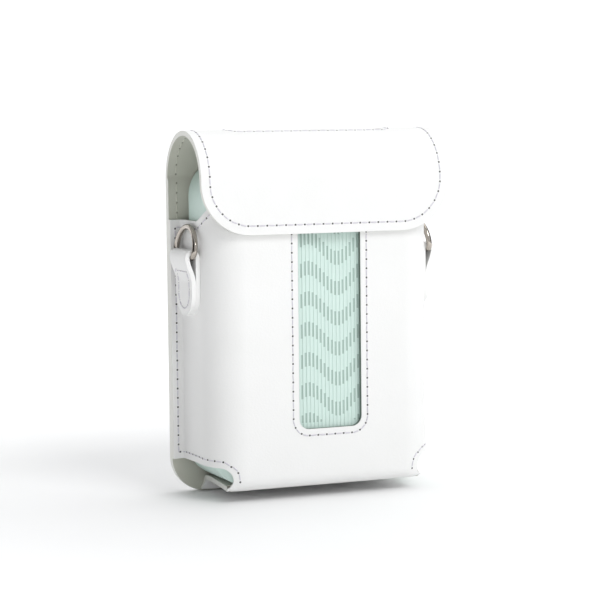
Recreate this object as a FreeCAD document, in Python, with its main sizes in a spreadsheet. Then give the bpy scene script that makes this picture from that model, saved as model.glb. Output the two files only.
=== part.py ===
import math
import os
import re

import FreeCAD
import Part
import Sketcher
from FreeCAD import Rotation, Vector

# A pocket instant photo printer in its leather carrying case.
# Frame: millimetres, X is the width, -Y the front, +Z up.  The origin is at the middle of the
# case's depth and width, on the level of the back panel's lower edge.

doc = FreeCAD.newDocument("printer_in_case")

# ---------------------------------------------------------------- driving dimensions
DIMENSIONS = [
    ("case_wide", 103.0, "back panel and flap, side to side"),
    ("case_deep", 41.3, "front of the flap to the rear of the back panel"),
    ("hem_tall", 4.4, "back panel below the pocket's bottom"),
    ("spring_tall", 123.4, "height at which the flap's arch leaves the straight back"),
    ("arch_tall", 19.7, "rise of the arch's outer face"),
    ("flap_low", 103.3, "lower edge of the flap's front"),
    ("flap_corner", 20.0, "radius of the flap's lower corners"),
    ("hinge_gap", 0.3, "flap above the top of the back panel"),
    ("back_corner", 14.0, "lower corners of the back panel"),
    ("leather_back", 1.0, "outer leather of the back panel"),
    ("board_thick", 1.2, "stiffening board"),
    ("lining_thick", 0.8, "lining of the back panel and the flap"),
    ("leather_flap", 1.2, "outer leather of the flap"),
    ("leather_pocket", 1.25, "outer leather of the pocket"),
    ("lining_pocket", 0.6, "lining of the pocket"),
    ("ply_gap", 0.3, "flap to pocket, and device to back panel"),
    ("device_gap", 0.25, "pocket to the device's front"),
    ("pocket_half", 47.15, "outer half width of the pocket"),
    ("pocket_corner", 14.0, "radius of the pocket's upright corners"),
    ("pocket_top", 123.0, "top edge of the pocket's front"),
    ("wing_top", 108.2, "top edge of the pocket's sides"),
    ("wing_low", 13.7, "lower edge of the pocket's sides"),
    ("tongue_half", 33.15, "half width of the tongue under the device"),
    ("fold_round", 5.0, "outer radius of the fold under the front"),
    ("window_wide", 26.3, "window in the pocket's front"),
    ("window_shift", 1.4, "window's middle to the right of the case's middle"),
    ("window_low", 27.3, "lower edge of the window"),
    ("window_high", 107.4, "upper edge of the window"),
    ("window_corner", 4.0, "radius of the window's corners"),
    ("slot_long", 64.0, "film slot in the flap"),
    ("slot_wide", 6.0, "film slot in the flap, front to back"),
    ("magnet_round", 6.0, "radius of the magnets"),
    ("magnet_thick", 0.7, "thickness of the magnets"),
    ("magnet_high", 114.6, "height of the magnets"),
    ("tab_wide", 18.5, "strap tab, front to back"),
    ("tab_middle", 3.6, "middle of the strap tab, behind the middle of the case"),
    ("tab_low", 71.7, "lower end of the strap tab"),
    ("tab_thick", 1.7, "one layer of the strap tab"),
    ("bar_high", 94.5, "height of the D-ring's bar"),
    ("wire_round", 1.1, "radius of the D-ring's wire"),
    ("wire_play", 0.12, "bar to the fold of the tab"),
    ("ring_round", 10.6, "radius of the D-ring's bow, to the wire's middle"),
    ("ring_leg", 1.0, "straight legs of the D-ring"),
    ("ring_lean", 7.5, "lean of the D-ring towards the case, degrees"),
    ("device_wide", 90.0, "printer"),
    ("device_tall", 126.0, "printer"),
    ("device_deep", 33.6, "printer"),
    ("device_low", 6.6, "underside of the printer"),
    ("shell_thick", 2.0, "walls of the printer's housing"),
    ("face_corner", 19.0, "upper housing corners, seen from the front"),
    ("foot_corner", 12.5, "lower housing corners, seen from the front"),
    ("front_edge", 12.3, "upright front edges of the housing"),
    ("rear_edge", 6.0, "rear edges of the housing"),
    ("brow_edge", 4.0, "top and bottom front edges of the housing"),
    ("split_deep", 6.0, "joint between the two housings, behind the middle"),
    ("rib_pitch", 1.58, "ribs of the housing's face"),
    ("rib_deep", 0.2, "grooves between the ribs"),
    ("rib_count", 35.0, "grooves"),
    ("film_plane", -0.5, "middle of the film sheet, front to back"),
    ("film_wide", 54.0, "film sheet"),
    ("film_tall", 86.0, "film sheet"),
    ("film_thick", 0.3, "film sheet"),
    ("film_low", 25.6, "lower edge of the waiting sheet"),
    ("exit_wide", 58.0, "film slot in the housing"),
    ("exit_deep", 4.6, "film slot in the housing, front to back"),
    ("nip_high", 110.6, "height of the two rollers"),
    ("roller_round", 4.0, "radius of the rubber rollers"),
    ("roller_core", 1.5, "radius of the roller shafts"),
    ("nip_play", 0.02, "roller to film"),
    ("roller_long", 56.0, "rubber of a roller"),
    ("bearing_play", 0.05, "shaft to bearing"),
    ("roller_teeth", 16.0, "teeth of each roller's gear"),
    ("reduction_teeth", 36.0, "teeth of the reduction gear"),
    ("pinion_teeth", 12.0, "teeth of the motor's pinion"),
    ("gear_start", 34.0, "near side of the gears"),
    ("gear_thick", 3.5, "width of the gears"),
    ("plate_start", 31.0, "inner face of the chassis side plates"),
    ("plate_thick", 1.5, "chassis sheet metal"),
    ("cartridge_wide", 60.0, "film cartridge"),
    ("cartridge_deep", 14.0, "film cartridge"),
    ("cartridge_tall", 92.0, "film cartridge"),
    ("cartridge_low", 14.6, "underside of the cartridge"),
    ("cartridge_wall", 1.2, "walls of the cartridge"),
    ("door_wide", 64.0, "film door"),
    ("door_tall", 100.0, "film door"),
    ("door_low", 15.6, "lower edge of the film door"),
    ("door_gap", 0.3, "round the film door"),
    ("button_round", 4.5, "radius of the power button"),
    ("button_high", 18.0, "height of the power button"),
    ("side_button_round", 3.0, "radius of the function button"),
    ("side_button_high", 56.0, "height of the function button"),
    ("button_play", 0.3, "round the buttons"),
    ("screw_reach", 39.0, "housing screws, out from the middle"),
    ("screw_high_low", 36.0, "height of the lower screws"),
    ("screw_high_up", 76.0, "height of the upper screws"),
    ("boss_round", 2.6, "radius of the screw bosses"),
    ("screw_round", 0.9, "radius of the screw shanks"),
    ("head_round", 1.9, "radius of the screw heads"),
    ("head_sunk", 1.2, "screw heads below the rear face"),
    ("head_tall", 1.0, "height of the screw heads"),
    ("pin_round", 0.6, "radius of the door's hinge pins"),
    ("pin_long", 6.0, "length of the door's hinge pins"),
    ("light_round", 1.0, "radius of the light pipe"),
    ("light_side", 9.0, "light pipe, right of the middle"),
    ("socket_wide", 9.0, "charging socket, top to bottom"),
    ("socket_deep", 3.2, "charging socket, front to back"),
    ("socket_long", 13.3, "charging socket, into the housing"),
    ("socket_front", -8.0, "front face of the charging socket"),
    ("socket_low", 20.0, "lower end of the charging socket"),
    ("board_wide", 61.0, "main board"),
    ("board_tall", 66.0, "main board"),
    ("board_thin", 1.2, "main board"),
    ("board_front", -4.8, "front face of the main board"),
    ("board_low", 14.0, "lower edge of the main board"),
    ("battery_wide", 40.0, "battery"),
    ("battery_tall", 44.0, "battery"),
    ("battery_deep", 6.4, "battery"),
    ("battery_left", -30.0, "left side of the battery"),
    ("battery_front", -13.4, "front face of the battery"),
    ("battery_low", 26.0, "lower end of the battery"),
]

dims = doc.addObject("Spreadsheet::Sheet", "dims")
for row, (alias, value, meaning) in enumerate(DIMENSIONS, start=1):
    dims.set(f"A{row}", alias)
    dims.set(f"B{row}", str(value))
    dims.set(f"C{row}", meaning)
    dims.setAlias(f"B{row}", alias)
doc.recompute()

nodes = []
ALIAS = re.compile(r"\b[a-z]+(?:_[a-z]+)+\b")


def size(alias):
    """A driving dimension as a number."""
    return float(dims.get(alias))


def bind(item, setting, formula):
    """Binds a setting to a formula in the sheet's words."""
    item.setExpression(setting, ALIAS.sub(r"dims.\g<0>", formula))


def place(item, across="0", back="0", up="0"):
    """Puts an item's own origin at a place given in the sheet's words."""
    bind(item, "Placement.Base.x", across)
    bind(item, "Placement.Base.y", back)
    bind(item, "Placement.Base.z", up)
    return item


def node(item, label):
    """Keeps an item as a sub-part of the finished model."""
    item.Label = label
    nodes.append(item)
    return item


def block(name, wide, deep, tall, across, back, up):
    """A box from its lowest corner."""
    item = doc.addObject("Part::Box", name)
    bind(item, "Length", wide)
    bind(item, "Width", deep)
    bind(item, "Height", tall)
    return place(item, across, back, up)


TURNS = {
    "X": Rotation(Vector(0, 1, 0), 90),
    "Y": Rotation(Vector(1, 0, 0), -90),
    "Z": Rotation(),
}


def rod(name, radius, length, across, back, up, along="Z"):
    """A cylinder that starts at a place and runs along an axis."""
    item = doc.addObject("Part::Cylinder", name)
    bind(item, "Radius", radius)
    bind(item, "Height", length)
    item.Placement.Rotation = TURNS[along]
    return place(item, across, back, up)


def fused(name, items):
    """One solid, or one group of solids, from several."""
    item = doc.addObject("Part::MultiFuse", name)
    item.Shapes = items
    return item


def cut(name, base, tools):
    """A base less its tools."""
    item = doc.addObject("Part::Cut", name)
    item.Base = base
    item.Tool = tools[0] if len(tools) == 1 else fused(name + "_tools", tools)
    return item


def shared(name, items):
    """What several solids have in common."""
    item = doc.addObject("Part::MultiCommon", name)
    item.Shapes = items
    return item


def sketch_on(body, role, offset="0"):
    """A sketch on one of the body's origin planes, moved along the plane's normal.
    The normals are +Z for XY_Plane, -Y for XZ_Plane and +X for YZ_Plane."""
    sketch = body.newObject("Sketcher::SketchObject", body.Name + "_sketch")
    plane = [item for item in body.Origin.OriginFeatures if item.Role == role][0]
    sketch.AttachmentSupport = (plane, [""])
    sketch.MapMode = "FlatFace"
    bind(sketch, "AttachmentOffset.Base.z", offset)
    return sketch


def closed(sketch, *points):
    """Adds a closed outline: a point is a corner, and a pair (middle, end) is an arc."""
    start = points[0]
    first = start
    for step in points[1:] + (first,):
        if isinstance(step[0], tuple):
            middle, end = step
            sketch.addGeometry(Part.Arc(Vector(*start), Vector(*middle), Vector(*end)))
        else:
            end = step
            if math.dist(start, end) > 1e-6:
                sketch.addGeometry(Part.LineSegment(Vector(*start), Vector(*end)))
        start = end


def rectangle(sketch, low, base, wide, tall):
    """A rectangle whose lowest corner and sides are bound to the sheet."""
    corners = [Vector(0, 0), Vector(10, 0), Vector(10, 10), Vector(0, 10)]
    for index in range(4):
        sketch.addGeometry(Part.LineSegment(corners[index], corners[(index + 1) % 4]))
    for index in range(4):
        following = (index + 1) % 4
        sketch.addConstraint(Sketcher.Constraint("Coincident", index, 2, following, 1))
    for index, kind in enumerate(("Horizontal", "Vertical", "Horizontal", "Vertical")):
        sketch.addConstraint(Sketcher.Constraint(kind, index))
    sizes = (
        (Sketcher.Constraint("DistanceX", 0, 1, 0, 2, 10.0), wide),
        (Sketcher.Constraint("DistanceY", 1, 1, 1, 2, 10.0), tall),
        (Sketcher.Constraint("DistanceX", -1, 1, 0, 1, 1.0), low),
        (Sketcher.Constraint("DistanceY", -1, 1, 0, 1, 1.0), base),
    )
    for constraint, formula in sizes:
        number = sketch.addConstraint(constraint)
        bind(sketch, f"Constraints[{number}]", formula)


def disc(sketch, across, up, radius):
    """A circle whose centre and radius are bound to the sheet."""
    number = sketch.addGeometry(Part.Circle(Vector(1, 1), Vector(0, 0, 1), 1.0))
    sizes = (
        (Sketcher.Constraint("Radius", number, 1.0), radius),
        (Sketcher.Constraint("DistanceX", -1, 1, number, 3, 1.0), across),
        (Sketcher.Constraint("DistanceY", -1, 1, number, 3, 1.0), up),
    )
    for constraint, formula in sizes:
        bind(sketch, f"Constraints[{sketch.addConstraint(constraint)}]", formula)


def pad(body, sketch, length):
    """Raises a sketch along its plane's normal."""
    feature = body.newObject("PartDesign::Pad", body.Name + "_pad")
    feature.Profile = sketch
    bind(feature, "Length", length)
    return feature


def pocket(body, sketch, length):
    """Cuts a sketch out of the body, along its plane's normal."""
    feature = body.newObject("PartDesign::Pocket", body.Name + "_pocket")
    feature.Profile = sketch
    feature.Reversed = True
    bind(feature, "Length", length)
    return feature


def rounded(body, radius, chosen):
    """Rounds the straight edges that a test on the edge picks out."""
    doc.recompute()
    base = body.Tip
    names = []
    for number, edge in enumerate(base.Shape.Edges, start=1):
        if chosen(edge):
            names.append(f"Edge{number}")
    feature = body.newObject("PartDesign::Fillet", body.Name + "_round")
    feature.Base = (base, names)
    bind(feature, "Radius", radius)
    return feature


def runs_along(edge, axis):
    """True if an edge is straight and parallel to an axis."""
    run = edge.Vertexes[-1].Point - edge.Vertexes[0].Point
    return abs(abs(run.normalize()[axis]) - 1.0) < 1e-6


# ---------------------------------------------------------------- levels worked out once
FRONT = -size("case_deep") / 2
REAR = size("case_deep") / 2
HINGE_HIGH = "spring_tall - hinge_gap"
FLAP_THICK = "(leather_flap + lining_thick)"
POCKET_THICK = "(leather_pocket + lining_pocket)"
BACK_THICK = "(leather_back + board_thick + lining_thick)"
POCKET_FRONT = f"(-case_deep / 2 + {FLAP_THICK} + ply_gap)"
DEVICE_FRONT = f"({POCKET_FRONT} + {POCKET_THICK} + device_gap)"
DEVICE_REAR = f"({DEVICE_FRONT} + device_deep)"

pocket_thick = size("leather_pocket") + size("lining_pocket")
back_thick = size("leather_back") + size("board_thick") + size("lining_thick")
flap_thick = size("leather_flap") + size("lining_thick")
pocket_front = FRONT + flap_thick + size("ply_gap")
flange_front = REAR - back_thick - pocket_thick
device_front = pocket_front + pocket_thick + size("device_gap")
device_rear = device_front + size("device_deep")


# ---------------------------------------------------------------- back panel: three plies
def back_ply(label, depth_behind, thick):
    """One ply of the back panel; depth_behind is its front face, behind the middle."""
    body = doc.addObject("PartDesign::Body", label)
    sketch = sketch_on(body, "XZ_Plane", f"-({depth_behind} + {thick})")
    rectangle(sketch, "-case_wide / 2", "0", "case_wide", HINGE_HIGH)
    pad(body, sketch, thick)
    rounded(body, "back_corner", lambda edge: runs_along(edge, 1) and edge.BoundBox.ZMax < 1)
    return node(body, label)


back_ply("back_lining", f"case_deep / 2 - {BACK_THICK}", "lining_thick")
back_ply("back_board", "case_deep / 2 - leather_back - board_thick", "board_thick")
back_ply("back_leather", "case_deep / 2 - leather_back", "leather_back")


# ---------------------------------------------------------------- pocket: two plies
def pocket_ply(label, outer, thick, thick_words):
    """One ply of the pocket; outer is its depth below the pocket's outer face."""
    inner = outer + thick
    body = doc.addObject("PartDesign::Body", label)
    half = size("pocket_half")
    corner = size("pocket_corner")
    edge = size("case_wide") / 2
    slant = math.sqrt(0.5)

    def bend(depth, side):
        """Start, middle and end of one upright corner, at a depth below the outer face."""
        centre_x = half - corner
        centre_y = pocket_front + corner
        radius = corner - depth
        start = (side * centre_x, centre_y - radius)
        middle = (side * (centre_x + slant * radius), centre_y - slant * radius)
        end = (side * (centre_x + radius), centre_y)
        return start, middle, end

    right_out = bend(outer, 1)
    left_out = bend(outer, -1)
    right_in = bend(inner, 1)
    left_in = bend(inner, -1)
    band = sketch_on(body, "XY_Plane", "wing_low")
    closed(
        band,
        left_out[0],
        right_out[0],
        (right_out[1], right_out[2]),
        (half - outer, flange_front + outer),
        (edge, flange_front + outer),
        (edge, flange_front + inner),
        (half - inner, flange_front + inner),
        right_in[2],
        (right_in[1], right_in[0]),
        left_in[0],
        (left_in[1], left_in[2]),
        (-half + inner, flange_front + inner),
        (-edge, flange_front + inner),
        (-edge, flange_front + outer),
        (-half + outer, flange_front + outer),
        left_out[2],
        (left_out[1], left_out[0]),
    )
    pad(body, band, "pocket_top - wing_low")

    # the top edge: low at the sides, then an S-curve up to the front
    wing = size("wing_top")
    top = size("pocket_top")
    rise = top - wing
    clear = top + 10
    crest = sketch_on(body, "YZ_Plane", "-case_wide")
    closed(
        crest,
        (REAR + 5, wing),
        (1.0, wing),
        ((-5.2, wing + 0.09 * rise), (-10.2, wing + 0.37 * rise)),
        ((-14.5, wing + 0.76 * rise), (pocket_front - 0.01, top)),
        (pocket_front - 5, top),
        (pocket_front - 5, clear),
        (REAR + 5, clear),
    )
    pocket(body, crest, "2 * case_wide")

    # the window
    low = size("window_low")
    high = size("window_high")
    left = size("window_shift") - size("window_wide") / 2
    right = size("window_shift") + size("window_wide") / 2
    arc = size("window_corner")
    part = arc * (1 - slant)
    window = sketch_on(body, "XZ_Plane")
    closed(
        window,
        (left + arc, low),
        (right - arc, low),
        ((right - part, low + part), (right, low + arc)),
        (right, high - arc),
        ((right - part, high - part), (right - arc, high)),
        (left + arc, high),
        ((left + part, high - part), (left, high - arc)),
        (left, low + arc),
        ((left + part, low + part), (left + arc, low)),
    )
    pocket(body, window, "case_deep")

    # the fold under the front, the tongue and its flange on the back panel's hem
    fold = size("fold_round")
    base = size("hem_tall")
    high_end = size("wing_low") + 1
    low_end = 0.6
    out_part = fold - slant * (fold - outer)
    in_part = fold - slant * (fold - inner)
    tongue = sketch_on(body, "YZ_Plane", "-tongue_half")
    closed(
        tongue,
        (pocket_front + outer, high_end),
        (pocket_front + outer, base + fold),
        ((pocket_front + out_part, base + out_part), (pocket_front + fold, base + outer)),
        (flange_front + outer, base + outer),
        (flange_front + outer, low_end),
        (flange_front + inner, low_end),
        (flange_front + inner, base + inner),
        (pocket_front + fold, base + inner),
        ((pocket_front + in_part, base + in_part), (pocket_front + inner, base + fold)),
        (pocket_front + inner, high_end),
    )
    pad(body, tongue, "2 * tongue_half")
    return node(body, label)


pocket_leather = pocket_ply("pocket_leather", 0.0, size("leather_pocket"), "leather_pocket")
pocket_ply("pocket_lining", size("leather_pocket"), size("lining_pocket"), "lining_pocket")

# ---------------------------------------------------------------- magnets and their seats
seat = sketch_on(pocket_leather, "XZ_Plane", f"-({POCKET_FRONT} + leather_pocket)")
disc(seat, "0", "magnet_high", "magnet_round")
pocket(pocket_leather, seat, "magnet_thick")
node(
    rod(
        "pocket_magnet", "magnet_round", "magnet_thick",
        "0", f"{POCKET_FRONT} + leather_pocket - magnet_thick", "magnet_high", "Y",
    ),
    "pocket_magnet",
)


# ---------------------------------------------------------------- flap: two plies
def flap_ply(label, outer, thick):
    """One ply of the flap: a half ellipse over the top, then straight down the front."""
    body = doc.addObject("PartDesign::Body", label)
    spring = size("spring_tall")
    low = size("flap_low")
    centre = Vector(0, spring)
    profile = sketch_on(body, "YZ_Plane", "-case_wide / 2")
    reaches = []
    for depth in (outer, outer + thick):
        reach = REAR - depth
        curve = Part.Ellipse(centre, reach, size("arch_tall") - depth)
        profile.addGeometry(Part.ArcOfEllipse(curve, 0.0, math.pi))
        reaches.append(reach)
    out, inn = reaches
    corners = [(-out, spring), (-out, low), (-inn, low), (-inn, spring)]
    for start, end in zip(corners, corners[1:]):
        profile.addGeometry(Part.LineSegment(Vector(*start), Vector(*end)))
    profile.addGeometry(Part.LineSegment(Vector(inn, spring), Vector(out, spring)))
    pad(body, profile, "case_wide")

    # the two rounded lower corners of the front
    edge = size("case_wide") / 2
    arc = size("flap_corner")
    part = arc * (1 - math.sqrt(0.5))
    trim = sketch_on(body, "XZ_Plane")
    for side in (-1, 1):
        closed(
            trim,
            (side * (edge + 1), low + arc),
            (side * edge, low + arc),
            ((side * (edge - part), low + part), (side * (edge - arc), low)),
            (side * (edge - arc), low - 1),
            (side * (edge + 1), low - 1),
        )
    pocket(body, trim, "case_deep")

    # the film slot over the top
    half_long = (size("slot_long") - size("slot_wide")) / 2
    half_wide = size("slot_wide") / 2
    slot = sketch_on(body, "XY_Plane", "spring_tall")
    closed(
        slot,
        (-half_long, -half_wide),
        (half_long, -half_wide),
        ((half_long + half_wide, 0), (half_long, half_wide)),
        (-half_long, half_wide),
        ((-half_long - half_wide, 0), (-half_long, -half_wide)),
    )
    pocket(body, slot, "2 * arch_tall")
    return node(body, label)


flap_leather = flap_ply("flap_leather", 0.0, size("leather_flap"))
flap_ply("flap_lining", size("leather_flap"), size("lining_thick"))
seat = sketch_on(flap_leather, "XZ_Plane", "case_deep / 2 - leather_flap")
disc(seat, "0", "magnet_high", "magnet_round")
pocket(flap_leather, seat, "magnet_thick")
node(
    rod(
        "flap_magnet", "magnet_round", "magnet_thick",
        "0", "-case_deep / 2 + leather_flap - magnet_thick", "magnet_high", "Y",
    ),
    "flap_magnet",
)


# ---------------------------------------------------------------- strap tabs and D-rings
def strap_tab(label, side):
    """A strap folded over the D-ring's bar, its two layers sewn flat on the pocket's side."""
    body = doc.addObject("PartDesign::Body", label)
    wall = size("pocket_half")
    layer = size("tab_thick")
    bore = size("wire_round") + size("wire_play")
    outside = bore + layer
    bar_x = wall + outside
    bar_z = size("bar_high")
    low = size("tab_low")
    profile = sketch_on(body, "XZ_Plane", "-(tab_middle + tab_wide / 2)")
    closed(
        profile,
        (side * wall, low),
        (side * wall, bar_z),
        ((side * bar_x, bar_z + outside), (side * (bar_x + outside), bar_z)),
        (side * (bar_x + outside), bar_z - bore),
        (side * (wall + 2 * layer), bar_z - 4 * outside),
        (side * (wall + 2 * layer), low),
    )
    closed(
        profile,
        (side * (bar_x - bore), bar_z),
        ((side * bar_x, bar_z + bore), (side * (bar_x + bore), bar_z)),
        (side * (bar_x + bore), bar_z - bore),
        (side * (wall + layer), bar_z - 3 * outside),
    )
    pad(body, profile, "tab_wide")
    half = size("tab_wide") / 2
    middle = size("tab_middle")
    part = half * (1 - math.sqrt(0.5))
    trim = sketch_on(body, "YZ_Plane", "-case_wide")
    for way in (-1, 1):
        closed(
            trim,
            (middle + way * (half + 1), low + half),
            (middle + way * half, low + half),
            ((middle + way * (half - part), low + part), (middle, low)),
            (middle, low - 1),
            (middle + way * (half + 1), low - 1),
        )
    pocket(body, trim, "2 * case_wide")
    return node(body, label)


def d_ring(label, side):
    """A D-ring of round wire: bar, two legs and a half-round bow, leaning on the case."""
    bow = doc.addObject("Part::Torus", label + "_bow")
    bind(bow, "Radius1", "ring_round")
    bind(bow, "Radius2", "wire_round")
    bow.Angle3 = 180
    bow.Placement.Rotation = Rotation(Vector(0, 0, 1), 90) * Rotation(Vector(1, 0, 0), 90)
    bind(bow, "Placement.Base.z", "ring_leg")
    pieces = [bow]
    pieces.append(rod(label + "_bar", "wire_round", "2 * ring_round", "0", "-ring_round", "0", "Y"))
    for way, word in ((-1, "-ring_round"), (1, "ring_round")):
        knee = doc.addObject("Part::Sphere", f"{label}_knee_{way + 1}")
        bind(knee, "Radius", "wire_round")
        pieces.append(place(knee, "0", word, "0"))
        pieces.append(rod(f"{label}_leg_{way + 1}", "wire_round", "ring_leg", "0", word, "0"))
    ring = fused(label, pieces)
    ring.Placement.Rotation = Rotation(Vector(0, 1, 0), -side * size("ring_lean"))
    sign = "" if side > 0 else "-"
    place(ring, f"{sign}(pocket_half + wire_round + wire_play + tab_thick)", "tab_middle", "bar_high")
    return node(ring, label)


for side, word in ((-1, "left"), (1, "right")):
    strap_tab("tab_" + word, side)
    d_ring("d_ring_" + word, side)


# ---------------------------------------------------------------- housing of the printer
def slab(name, role, start, rect, length, rounds):
    """A block with rounded edges along one axis: one view of the housing, raised."""
    body = doc.addObject("PartDesign::Body", name)
    sketch = sketch_on(body, role, start)
    rectangle(sketch, *rect)
    pad(body, sketch, length)
    for radius, chosen in rounds:
        rounded(body, radius, chosen)
    return body


MID_HIGH = size("device_low") + size("device_tall") / 2


def housing_block(name, inset):
    """What the front, top and side views of the housing have in common, less an inset."""
    axes = {"face": 1, "plan": 2, "side": 0}

    def at(axis, test):
        return lambda edge: runs_along(edge, axis) and test(edge.CenterOfMass)

    wide = f"device_wide - 2 * {inset}"
    tall = f"device_tall - 2 * {inset}"
    deep = f"device_deep - 2 * {inset}"
    left = f"-device_wide / 2 + {inset}"
    low = f"device_low + {inset}"
    front = f"{DEVICE_FRONT} + {inset}"
    face = slab(
        name + "_face", "XZ_Plane", f"-({DEVICE_REAR})", (left, low, wide, tall),
        "device_deep",
        [
            (f"face_corner - {inset}", at(axes["face"], lambda point: point.z > MID_HIGH)),
            (f"foot_corner - {inset}", at(axes["face"], lambda point: point.z < MID_HIGH)),
        ],
    )
    plan = slab(
        name + "_plan", "XY_Plane", "device_low", (left, front, wide, deep), "device_tall",
        [
            (f"front_edge - {inset}", at(axes["plan"], lambda point: point.y < 0)),
            (f"rear_edge - {inset}", at(axes["plan"], lambda point: point.y > 0)),
        ],
    )
    side = slab(
        name + "_side", "YZ_Plane", "-device_wide / 2", (front, low, deep, tall), "device_wide",
        [
            (f"brow_edge - {inset}", at(axes["side"], lambda point: point.y < 0)),
            (f"rear_edge - {inset}", at(axes["side"], lambda point: point.y > 0)),
        ],
    )
    return shared(name, [face, plan, side])


whole_block = housing_block("housing_whole", "0")
room_block = housing_block("housing_room", "shell_thick")
whole_shell = cut("housing_shell", whole_block, [room_block])
fore_zone = block(
    "fore_zone", "case_wide", "case_deep", "2 * device_tall",
    "-case_wide / 2", "split_deep - case_deep", "0",
)
aft_zone = block(
    "aft_zone", "case_wide", "case_deep", "2 * device_tall", "-case_wide / 2", "split_deep", "0",
)

SCREWS = []
for column, reach in (("left", "-screw_reach"), ("right", "screw_reach")):
    for row, high in (("low", "screw_high_low"), ("up", "screw_high_up")):
        SCREWS.append((f"{column}_{row}", reach, high))
BOSS_END = "(split_deep + 7)"
SCREW_START = "(split_deep - 1)"
HEAD_START = f"({DEVICE_REAR} - head_sunk)"

bosses = []
screw_holes = []
head_seats = []
screws = []
for spot, reach, high in SCREWS:
    bosses.append(
        rod("boss_" + spot, "boss_round", f"{BOSS_END} - {DEVICE_FRONT} - shell_thick",
            reach, f"{DEVICE_FRONT} + shell_thick", high, "Y")
    )
    screw_holes.append(rod("hole_" + spot, "screw_round", "case_deep / 2", reach, SCREW_START, high, "Y"))
    head_seats.append(rod("seat_" + spot, "head_round", "case_deep", reach, HEAD_START, high, "Y"))
    shank_long = f"{HEAD_START} - {SCREW_START}"
    shank = rod("shank_" + spot, "screw_round", shank_long, reach, SCREW_START, high, "Y")
    head = rod("head_" + spot, "head_round", "head_tall", reach, HEAD_START, high, "Y")
    screws.append(fused("screw_" + spot, [shank, head]))
group = doc.addObject("Part::Compound", "housing_screws")
group.Links = screws
node(group, "housing_screws")

exit_slot = block(
    "exit_slot", "exit_wide", "exit_deep", "device_tall",
    "-exit_wide / 2", "film_plane - exit_deep / 2", "device_low + device_tall - 10",
)
button_hole = rod(
    "button_hole", "button_round + button_play", "shell_thick + 2",
    "0", f"{DEVICE_FRONT} - 1", "button_high", "Y",
)
side_button_hole = rod(
    "side_button_hole", "side_button_round + button_play", "shell_thick + 2",
    "device_wide / 2 - shell_thick - 1", "-1", "side_button_high", "X",
)
light_hole = rod(
    "light_hole", "light_round", "shell_thick + 2",
    "light_side", f"{DEVICE_FRONT} - 1", "button_high", "Y",
)
socket_hole = block(
    "socket_hole", "8", "socket_deep", "socket_wide", "device_wide / 2 - 6", "socket_front", "socket_low",
)
ribs = []
rib_start = "window_shift - (rib_count - 1) / 2 * rib_pitch - rib_pitch / 4"
for number in range(int(size("rib_count"))):
    ribs.append(
        block(f"rib_{number}", "rib_pitch / 2", "1 + rib_deep", "device_tall - 34",
              f"{rib_start} + {number} * rib_pitch", f"{DEVICE_FRONT} - 1", "device_low + 18")
    )
grooves = doc.addObject("Part::Compound", "grooves")
grooves.Links = ribs

fore_shell = shared("fore_shell", [whole_shell, fore_zone])
boss_zone = shared("boss_zone", [whole_block, fused("bosses", bosses)])
fore_solid = fused("fore_solid", [fore_shell, boss_zone])
front_tools = [exit_slot, button_hole, side_button_hole, light_hole, socket_hole]
fore_open = cut("fore_open", fore_solid, front_tools + screw_holes)
front_housing = cut("front_housing", fore_open, [grooves])
node(front_housing, "front_housing")

door_opening = block(
    "door_opening", "door_wide", "shell_thick + 2", "door_tall",
    "-door_wide / 2", f"{DEVICE_REAR} - shell_thick - 1", "door_low",
)
PIN_BACK = f"{DEVICE_REAR} - shell_thick / 2"
PIN_HIGH = "door_low + 1.5"
pins = []
pin_seats = []
door_seats = []
for number, start in enumerate(("-door_wide / 2 - 2", "door_wide / 2 - 4")):
    pin_at = (start, PIN_BACK, PIN_HIGH, "X")
    pins.append(rod(f"door_pin_{number}", "pin_round", "pin_long", *pin_at))
    pin_seats.append(rod(f"pin_seat_{number}", "pin_round", "pin_long", *pin_at))
    door_seats.append(rod(f"door_seat_{number}", "pin_round", "pin_long", *pin_at))
aft_shell = shared("aft_shell", [whole_shell, aft_zone])
rear_housing = cut("rear_housing", aft_shell, [door_opening] + screw_holes + head_seats + pin_seats)
node(rear_housing, "rear_housing")

door_plate = block(
    "door_plate", "door_wide - 2 * door_gap", "shell_thick", "door_tall - 2 * door_gap",
    "-door_wide / 2 + door_gap", f"{DEVICE_REAR} - shell_thick", "door_low + door_gap",
)
latch_bay = block(
    "latch_bay", "20", "shell_thick + 2", "5.6",
    "-10", f"{DEVICE_REAR} - 1.4", "door_low + door_tall - 14",
)
film_door = cut("film_door", door_plate, [latch_bay] + door_seats)
node(film_door, "film_door")
pin_group = doc.addObject("Part::Compound", "door_pins")
pin_group.Links = pins
node(pin_group, "door_pins")
node(
    block("door_latch", "16", "1", "5", "-9.7", f"{DEVICE_REAR} - 1.2", "door_low + door_tall - 13.7"),
    "door_latch",
)

# ---------------------------------------------------------------- buttons, light, socket
power_cap = rod(
    "power_cap", "button_round", "shell_thick + button_play + 0.1",
    "0", DEVICE_FRONT, "button_high", "Y",
)
power_foot = rod(
    "power_foot", "button_round + 1.3", "0.8",
    "0", f"{DEVICE_FRONT} + shell_thick + button_play", "button_high", "Y",
)
node(fused("power_button", [power_cap, power_foot]), "power_button")
function_cap = rod(
    "function_cap", "side_button_round", "shell_thick + button_play + 0.1",
    "device_wide / 2 - shell_thick - button_play - 0.1", "-1", "side_button_high", "X",
)
function_foot = rod(
    "function_foot", "side_button_round + 1", "0.8",
    "device_wide / 2 - shell_thick - button_play - 0.8", "-1", "side_button_high", "X",
)
node(fused("function_button", [function_cap, function_foot]), "function_button")
light_pipe = rod(
    "light_pipe", "light_round", "shell_thick", "light_side", DEVICE_FRONT, "button_high", "Y",
)
node(light_pipe, "light_pipe")
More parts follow.
